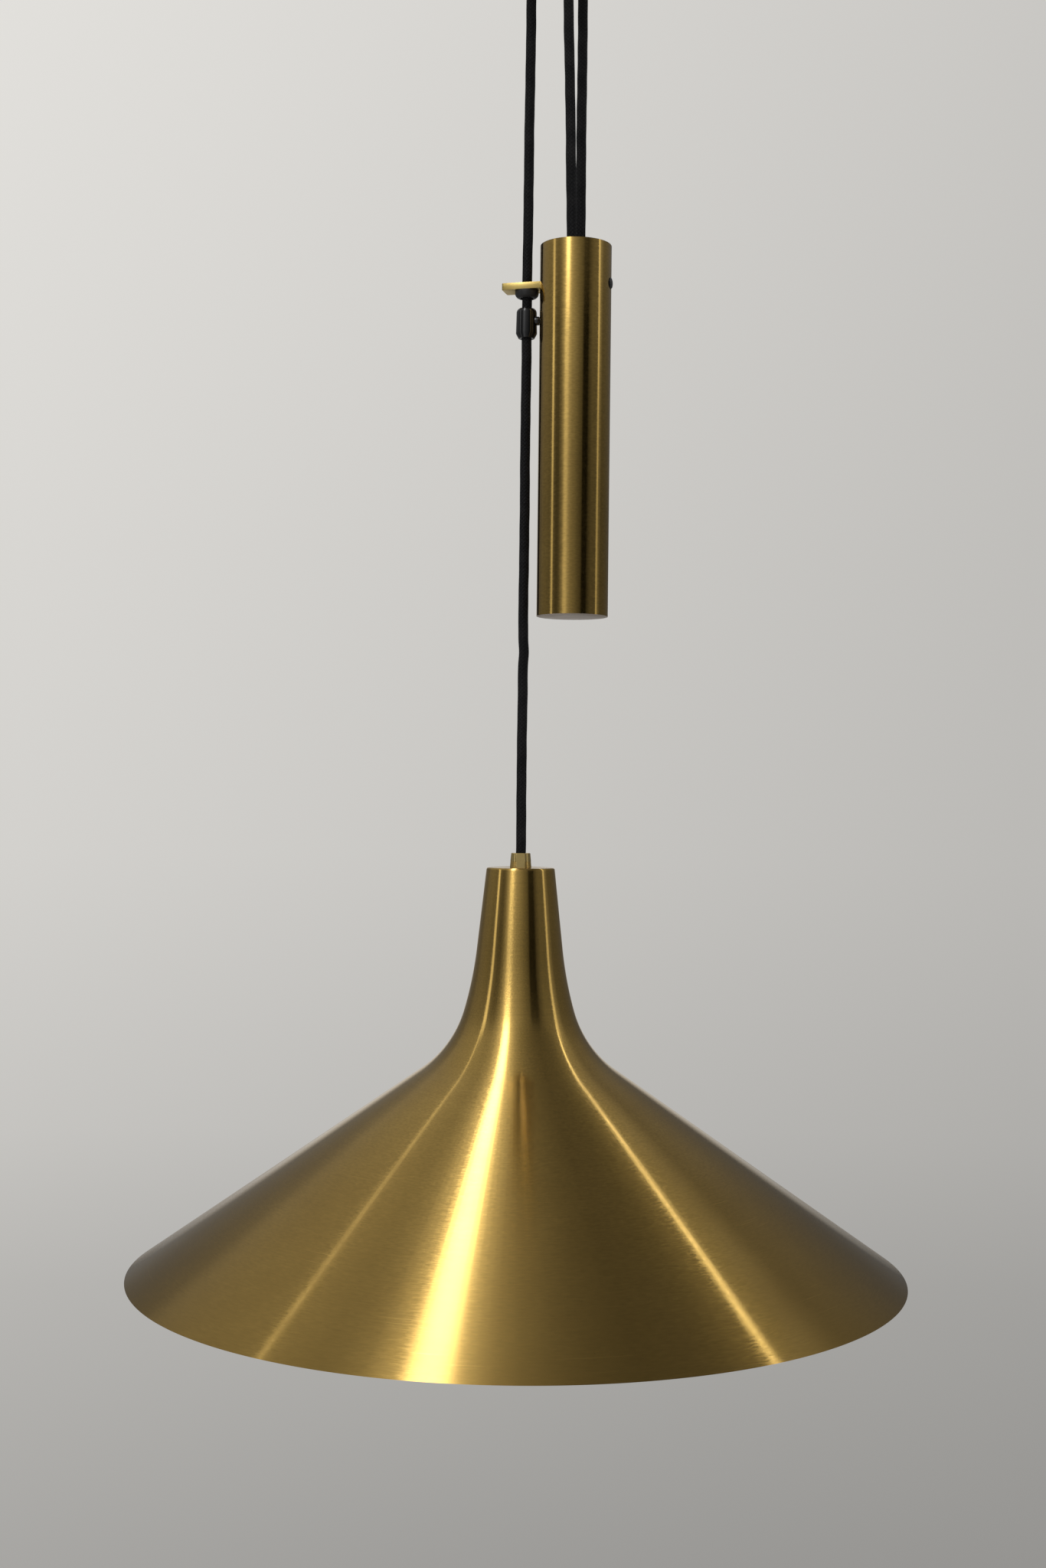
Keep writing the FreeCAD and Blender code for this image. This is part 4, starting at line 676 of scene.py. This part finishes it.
lamp_route = at_pulley(CEILING_PULLEY, CEILING_ACROSS, (0, CEILING_R), (-CEILING_HALF_SIDE, CEILING_R),
                       (-CEILING_R, CEILING_HALF_SIDE), (-CEILING_R, -PLUMB))
lamp_route += [(-16, 8, -290.9), (-16, 8, -640), (-16, 8, -671.2)]
lamp_cord, line, length = cord_piece("lamp_cord_braided", lamp_route, 0.0065, crease=-0.515)
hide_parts("cord_lamp_strand", "lamp_cord")
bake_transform(lamp_cord, "ceiling", "lamp", start=(-0.015, 0.008, -0.0275), end=(-0.016, 0.008, -0.2909))

# ---------------------------------------------------------------- shade
SHADE_TOP = -655.4
SHADE_RIM = -916.33
SHADE_RADIUS = 250
SHADE_HOLE = 5.1
SHEET = 0.7                                # thickness of the spun sheet
TOP_BEND, TOP_TURN = 1.5, 83.7             # from the flat top to the neck: outer radius and degrees
NECK_RUN = 51.956
FLARE_BEND, FLARE_TURN = 241.3, 9.7        # the neck's slow flare
KNEE_BEND, KNEE_TURN = 70.9, 39.26
RIM_EDGES_BELOW = -916
shell = Outline(SHADE_HOLE, SHADE_TOP).ahead(15.756).bend(TOP_BEND, TOP_TURN, 5).ahead(NECK_RUN)
shell.bend(FLARE_BEND, -FLARE_TURN, 10).bend(KNEE_BEND, -KNEE_TURN, 16).to(SHADE_RADIUS, SHADE_RIM)
shell.to(248.772, SHADE_RIM).to(63.291, -787.706)
shell.bend(KNEE_BEND + SHEET, KNEE_TURN, 16).bend(FLARE_BEND + SHEET, FLARE_TURN, 10)
shell.ahead(NECK_RUN).bend(TOP_BEND - SHEET, -TOP_TURN, 4).to(SHADE_HOLE, SHADE_TOP - SHEET)
shade_bm = shell.spun(sides=288)
soften(shade_bm, 0.12, 2, lambda e: all(v.co.z < RIM_EDGES_BELOW for v in e.verts))
turned_map(shade_bm)
# the inner side is lacquered white, short of the rim's edge and the hole
LACQUER_LOW, LACQUER_HIGH, LACQUER_FROM_AXIS = -915.9, -655.9, 5.3
for face in shade_bm.faces:
    centre = face.calc_center_median()
    outwards = face.normal.dot(Vector((centre.x, centre.y, 0)).normalized())
    inner = outwards < -0.1 or face.normal.z < -0.9
    if inner and LACQUER_LOW < centre.z < LACQUER_HIGH and centre.xy.length > LACQUER_FROM_AXIS:
        face.material_index = 1
piece("shade_spun", shade_bm, "lamp", "shade_brass", LAMP, ["shade"],
      [finishes["shade_brass"], white_lacquer])

# ---------------------------------------------------------------- counterweight
TUBE_TOP, TUBE_FOOT = -252.4, -492.4
TUBE_RADIUS, TUBE_BORE = 23.15, 21.65
DISC_RADIUS, DISC_TOP = 21.6, -489.4
wall = Outline(TUBE_BORE, TUBE_TOP).to(TUBE_RADIUS, TUBE_TOP).to(TUBE_RADIUS, TUBE_FOOT)
wall_bm = soften(wall.to(TUBE_BORE, TUBE_FOOT).spun(sides=192), 0.2, 3, sharper_than=60)
for face in wall_bm.faces:
    if face.normal.z < -0.9:
        face.material_index = 1
piece("counterweight_tube_drawn", wall_bm, "counterweight", "tube_brass", WEIGHT, ["counterweight_tube"],
      [finishes["tube_brass"], finishes["end_steel"]])
disc = Outline(0, DISC_TOP).to(DISC_RADIUS, DISC_TOP).to(DISC_RADIUS, TUBE_FOOT).to(0, TUBE_FOOT)
piece("counterweight_foot", soften(disc.spun(sides=144, closed=False), 0.15, 2, sharper_than=60),
      "counterweight", "end_steel", WEIGHT, ["counterweight_base"])

ARM_FOOT, ARM_END = 21.8, 47.8             # from the counterweight's axis
ARM_HALF_WIDTH, ARM_CORNER = 7.25, 1.2
ARM_TOP, ARM_UNDERSIDE, ARM_THICKNESS = -275.4, -279.6, 4.2
BUSHING_BODY, BUSHING_BORE, BUSHING_FLANGE = 5.5, 4.3, 7.7
SHANK_RADIUS, SHANK_BACK, SHANK_FRONT = 3.0, 23.0, 22.5
arm_plan = [(ARM_FOOT, -ARM_HALF_WIDTH)]
for side, first_angle in ((-1, -90.0), (1, 0.0)):
    for i in range(5):
        angle = math.radians(first_angle + 22.5 * i)
        arm_plan.append((ARM_END - ARM_CORNER + ARM_CORNER * math.cos(angle),
                         side * (ARM_HALF_WIDTH - ARM_CORNER) + ARM_CORNER * math.sin(angle)))
arm_plan.append((ARM_FOOT, ARM_HALF_WIDTH))
bar = drilled_bar(arm_plan, (LAMP - WEIGHT).length, BUSHING_BODY, ARM_THICKNESS, 0.25)
bar.transform(Matrix(((ARM_OUT.x, -ARM_OUT.y, 0), (ARM_OUT.y, ARM_OUT.x, 0), (0, 0, 1))).to_4x4())
shank = pin(SHANK_RADIUS, -ARM_OUT * SHANK_BACK, ARM_OUT * SHANK_FRONT)
piece("guide_arm_bar", joined(bar, shank), "counterweight", "arm_brass", WEIGHT_PULLEY, ["guide_arm"])

eye = Outline(BUSHING_BORE, ARM_TOP).to(BUSHING_BODY, ARM_TOP).to(BUSHING_BODY, ARM_UNDERSIDE)
eye.to(BUSHING_FLANGE, ARM_UNDERSIDE).to(BUSHING_FLANGE, -281.25).bend(3.3, 88, 9).to(BUSHING_BORE, -284.6)
piece("guide_bushing_moulded", soften(eye.spun(), 0.3, 3, sharper_than=60), "counterweight", "black_nylon",
      LAMP, ["guide_bushing"])

head = Outline(0, 1.1).to(1.9, 1.05).to(3.0, 0.75).to(3.7, 0.15).to(3.7, 0.0).to(2.0, 0.0).to(2.0, -10.0)
head.to(0, -10.0)
head = head.spun(sides=64, closed=False)
head.transform(Matrix.Translation(-ARM_OUT * TUBE_RADIUS) @ aimed(-ARM_OUT))
piece("axle_screw_domed", head, "counterweight", "black_steel", WEIGHT_PULLEY, ["axle_screw"], smooth=50)

# ---------------------------------------------------------------- cord stop
CORD_BORE = 3.35
STOP_TOP, STOP_FOOT, STOP_SCREW = -290.9, -310.7, -299.4
collar = Outline(CORD_BORE, STOP_TOP).to(3.6, STOP_TOP).bend(3.0, 89.0, 8).to(6.9, -307.5).to(5.2, STOP_FOOT)
collar_bm = soften(collar.to(CORD_BORE, STOP_FOOT).spun(), 0.35, 3, sharper_than=20)
boss = Outline(1.55, 8.6).to(2.85, 8.6).to(2.85, 4.5).to(1.55, 4.5).spun(sides=64)
soften(boss, 0.6, 3, lambda e: all(v.co.z > 8.5 and v.co.xy.length > 2.8 for v in e.verts))
boss.transform(Matrix.Translation((0, 0, STOP_SCREW)) @ aimed(-ARM_OUT))
piece("cord_stop_collar", joined(collar_bm, boss), "lamp", "black_plastic", LAMP, ["cord_stop"], smooth=40)

# ---------------------------------------------------------------- cord grip
GRIP_TOP = -646.0
GRIP_FOOT_RADIUS, GRIP_SLOPE = 7.15, 0.0957
GRIP_FLAT = 5.55                           # each flat's distance from the axis, at the top
GROOVES, GROOVES_TOP, GROOVE_PITCH = 5, 3.8, 0.8
GROOVE_WIDTH, GROOVE_DEPTH = 0.4, 0.3
NIPPLE_BORE, NIPPLE_BORE_TOP = 5.05, -649.4


def grip_radius(height):
    """The grip's radius at a height over its foot."""
    return GRIP_FOOT_RADIUS - GRIP_SLOPE * height


grip = Outline(CORD_BORE, GRIP_TOP).to(6.0, GRIP_TOP).to(6.25, -646.25)
for i in range(GROOVES):
    for down, depth in ((0.0, 0.0), (GROOVE_WIDTH / 2, GROOVE_DEPTH), (GROOVE_WIDTH, 0.0)):
        high = GROOVES_TOP - GROOVE_PITCH * i - down
        grip.to(grip_radius(high) - depth, SHADE_TOP + high)
grip.to(GRIP_FOOT_RADIUS, SHADE_TOP).to(NIPPLE_BORE, SHADE_TOP).to(NIPPLE_BORE, NIPPLE_BORE_TOP)
grip_bm = grip.to(CORD_BORE, NIPPLE_BORE_TOP).spun(sides=128)
soften(grip_bm, 0.05, 2, sharper_than=40)
for side in (-1, 1):
    everything = grip_bm.verts[:] + grip_bm.edges[:] + grip_bm.faces[:]
    cut = bmesh.ops.bisect_plane(grip_bm, geom=everything, plane_co=(0, side * GRIP_FLAT, GRIP_TOP),
                                 plane_no=(0, side, GRIP_SLOPE), clear_outer=True)
    rim = [g for g in cut["geom_cut"] if isinstance(g, bmesh.types.BMEdge)]
    bmesh.ops.holes_fill(grip_bm, edges=rim)
bmesh.ops.recalc_face_normals(grip_bm, faces=grip_bm.faces[:])
piece("cord_grip_turned", grip_bm, "lamp", "turned_brass", LAMP, ["cord_grip"])

# ---------------------------------------------------------------- the rest keeps its solids
for name, part in frame["nodes"].items():
    for held in part.material_slots:
        held.material = finishes[slot_of[name]]

# ---------------------------------------------------------------- studio
scene = bpy.context.scene
scene.view_settings.view_transform = "Standard"
camera = bpy.data.objects.new("camera", bpy.data.cameras.new("camera"))
scene.collection.objects.link(camera)
CAMERA_LENS = 44.44
CAMERA_AT = (-0.01505, -1.253, -0.6081)
CAMERA_TILT, CAMERA_ROLL = 90.32, 0.63     # degrees
camera.data.lens = CAMERA_LENS
tilt = Matrix.Rotation(math.radians(CAMERA_TILT), 4, "X")
roll = Matrix.Rotation(math.radians(CAMERA_ROLL), 4, "Z")
camera.matrix_world = Matrix.Translation(CAMERA_AT) @ tilt @ roll
scene.camera = camera

world = bpy.data.worlds.new("studio")
scene.world = world
world.use_nodes = True
tree = world.node_tree
tree.nodes.clear()
seen = node(tree, "TexCoord").outputs["Generated"]
x, y, z = node(tree, "SeparateXYZ", {0: seen}).outputs
LIGHTS_CENTRE = 0.978
turn = math_node(tree, "ARCTAN2", x, math_node(tree, "SUBTRACT", LIGHTS_CENTRE, y))
turn = between(tree, turn, -math.pi / 2, math.pi / 2)
# the studio's bands of light round the object, from the left to the right: degrees and brightness
LEVEL = [(-90, 0.24), (-72, 0.17), (-66, 0.17), (-61, 0.23), (-50, 0.23), (-42, 0.19), (-39.0, 0.22),
         (-38.2, 1.1), (-35.6, 1.1), (-34.8, 0.20), (-30, 0.11), (-26, 0.11), (-22, 0.24), (-18.5, 0.48),
         (-15.5, 1.05), (-12.5, 1.05), (-9, 0.60), (-5, 0.40), (1, 0.28), (6, 0.18), (11.5, 0.10),
         (13.5, 0.012), (20.5, 0.010), (23, 0.07), (29, 0.15), (38.5, 0.16), (39.8, 0.9), (41.4, 0.9),
         (43, 0.30), (49, 0.13), (90, 0.13)]
OVERHEAD = [(-90, 0.36), (-72, 0.28), (-60, 0.30), (-50, 0.35), (-44, 0.37), (-39.3, 0.40), (-39.0, 1.3),
            (-38.3, 1.3), (-38.0, 0.42), (-29, 0.34), (-26, 0.36), (-22, 0.47), (-19, 0.80), (-16.6, 1.1),
            (-13.8, 6.0), (-10.9, 6.0), (-8.4, 1.3), (-6, 0.80), (-3, 0.48), (1, 0.31), (6, 0.21),
            (11, 0.15), (18, 0.11), (26, 0.12), (31, 0.15), (38.7, 0.28), (39.1, 4.0), (39.7, 4.0),
            (40.1, 0.38), (47.8, 0.29), (54, 0.18), (90, 0.17)]
BRIGHTEST = 6.0
# the wall behind, from low to high: places on its ramp and brightness
WALL = ((0, 0.33), (0.2, 0.43), (0.29, 0.51), (0.46, 0.59), (0.65, 0.625), (1, 0.70))


def ramp(value, stops):
    """The colour at a value from 0 to 1, between stops given as (place, colour)."""
    made = node(tree, "ValToRGB", {0: value})
    held = made.color_ramp.elements
    while len(held) < len(stops):
        held.new(0.5)
    for stop, (place, colour) in zip(held, stops):
        stop.position = place
        stop.color = colour
    return made.outputs[0]


def bands(levels):
    """The light at each angle round the object, as a share of the brightest."""
    parts = [(degrees, light / BRIGHTEST) for degrees, light in levels]
    return ramp(turn, [((degrees + 90) / 180, (part, part, part, 1)) for degrees, part in parts])


low_gain = between(tree, z, 0.10, 0.25, 0.78, 1.0)
high_gain = between(tree, z, 0.25, 0.5, 1.0, 1.5)
gain = math_node(tree, "MULTIPLY", low_gain, high_gain)
level = node(tree, "VectorMath", {0: bands(LEVEL), "Scale": gain}, operation="SCALE").outputs[0]
around = mixed(tree, between(tree, z, 0.36, 0.62), level, bands(OVERHEAD))
panels = node(tree, "Background", {"Color": around, "Strength": BRIGHTEST})
wall_stops = [(place, (part, 0.98 * part, 0.94 * part, 1)) for place, part in WALL]
drop = ramp(between(tree, z, -0.40, 0.40), wall_stops)
sideways = between(tree, x, -0.25, 0.25, 1.1, 0.84)
wall_colour = node(tree, "VectorMath", {0: drop, "Scale": sideways}, operation="SCALE").outputs[0]
wall_behind = node(tree, "Background", {"Color": wall_colour, "Strength": 1.0})
all_round = node(tree, "Background", {"Color": (0.98, 0.98, 0.97, 1), "Strength": 0.8})
ray = node(tree, "LightPath").outputs
shown = math_node(tree, "ADD", ray["Is Camera Ray"], ray["Is Transmission Ray"], clamp=True)
mirrored = node(tree, "MixShader", {0: between(tree, y, 0.945, 0.985), 1: panels.outputs[0],
                                    2: wall_behind.outputs[0]})
lit = node(tree, "MixShader", {0: ray["Is Glossy Ray"], 1: all_round.outputs[0], 2: mirrored.outputs[0]})
whole = node(tree, "MixShader", {0: shown, 1: lit.outputs[0], 2: wall_behind.outputs[0]})
node(tree, "OutputWorld", {"Surface": whole.outputs[0]})

LIGHTS_AIM = Vector((0, 0, -0.6))
for name, at, size, power in (("key", (-1.5, -1.7, 0.5), 1.2, 9.0), ("fill", (1.8, -1.0, -0.2), 1.2, 4.0)):
    lamp = bpy.data.lights.new(name, "AREA")
    lamp.size, lamp.energy = size, power
    held = bpy.data.objects.new(name, lamp)
    held.location = at
    held.rotation_euler = (LIGHTS_AIM - Vector(at)).to_track_quat("-Z", "Y").to_euler()
    held.visible_glossy = False
    scene.collection.objects.link(held)

low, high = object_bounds()
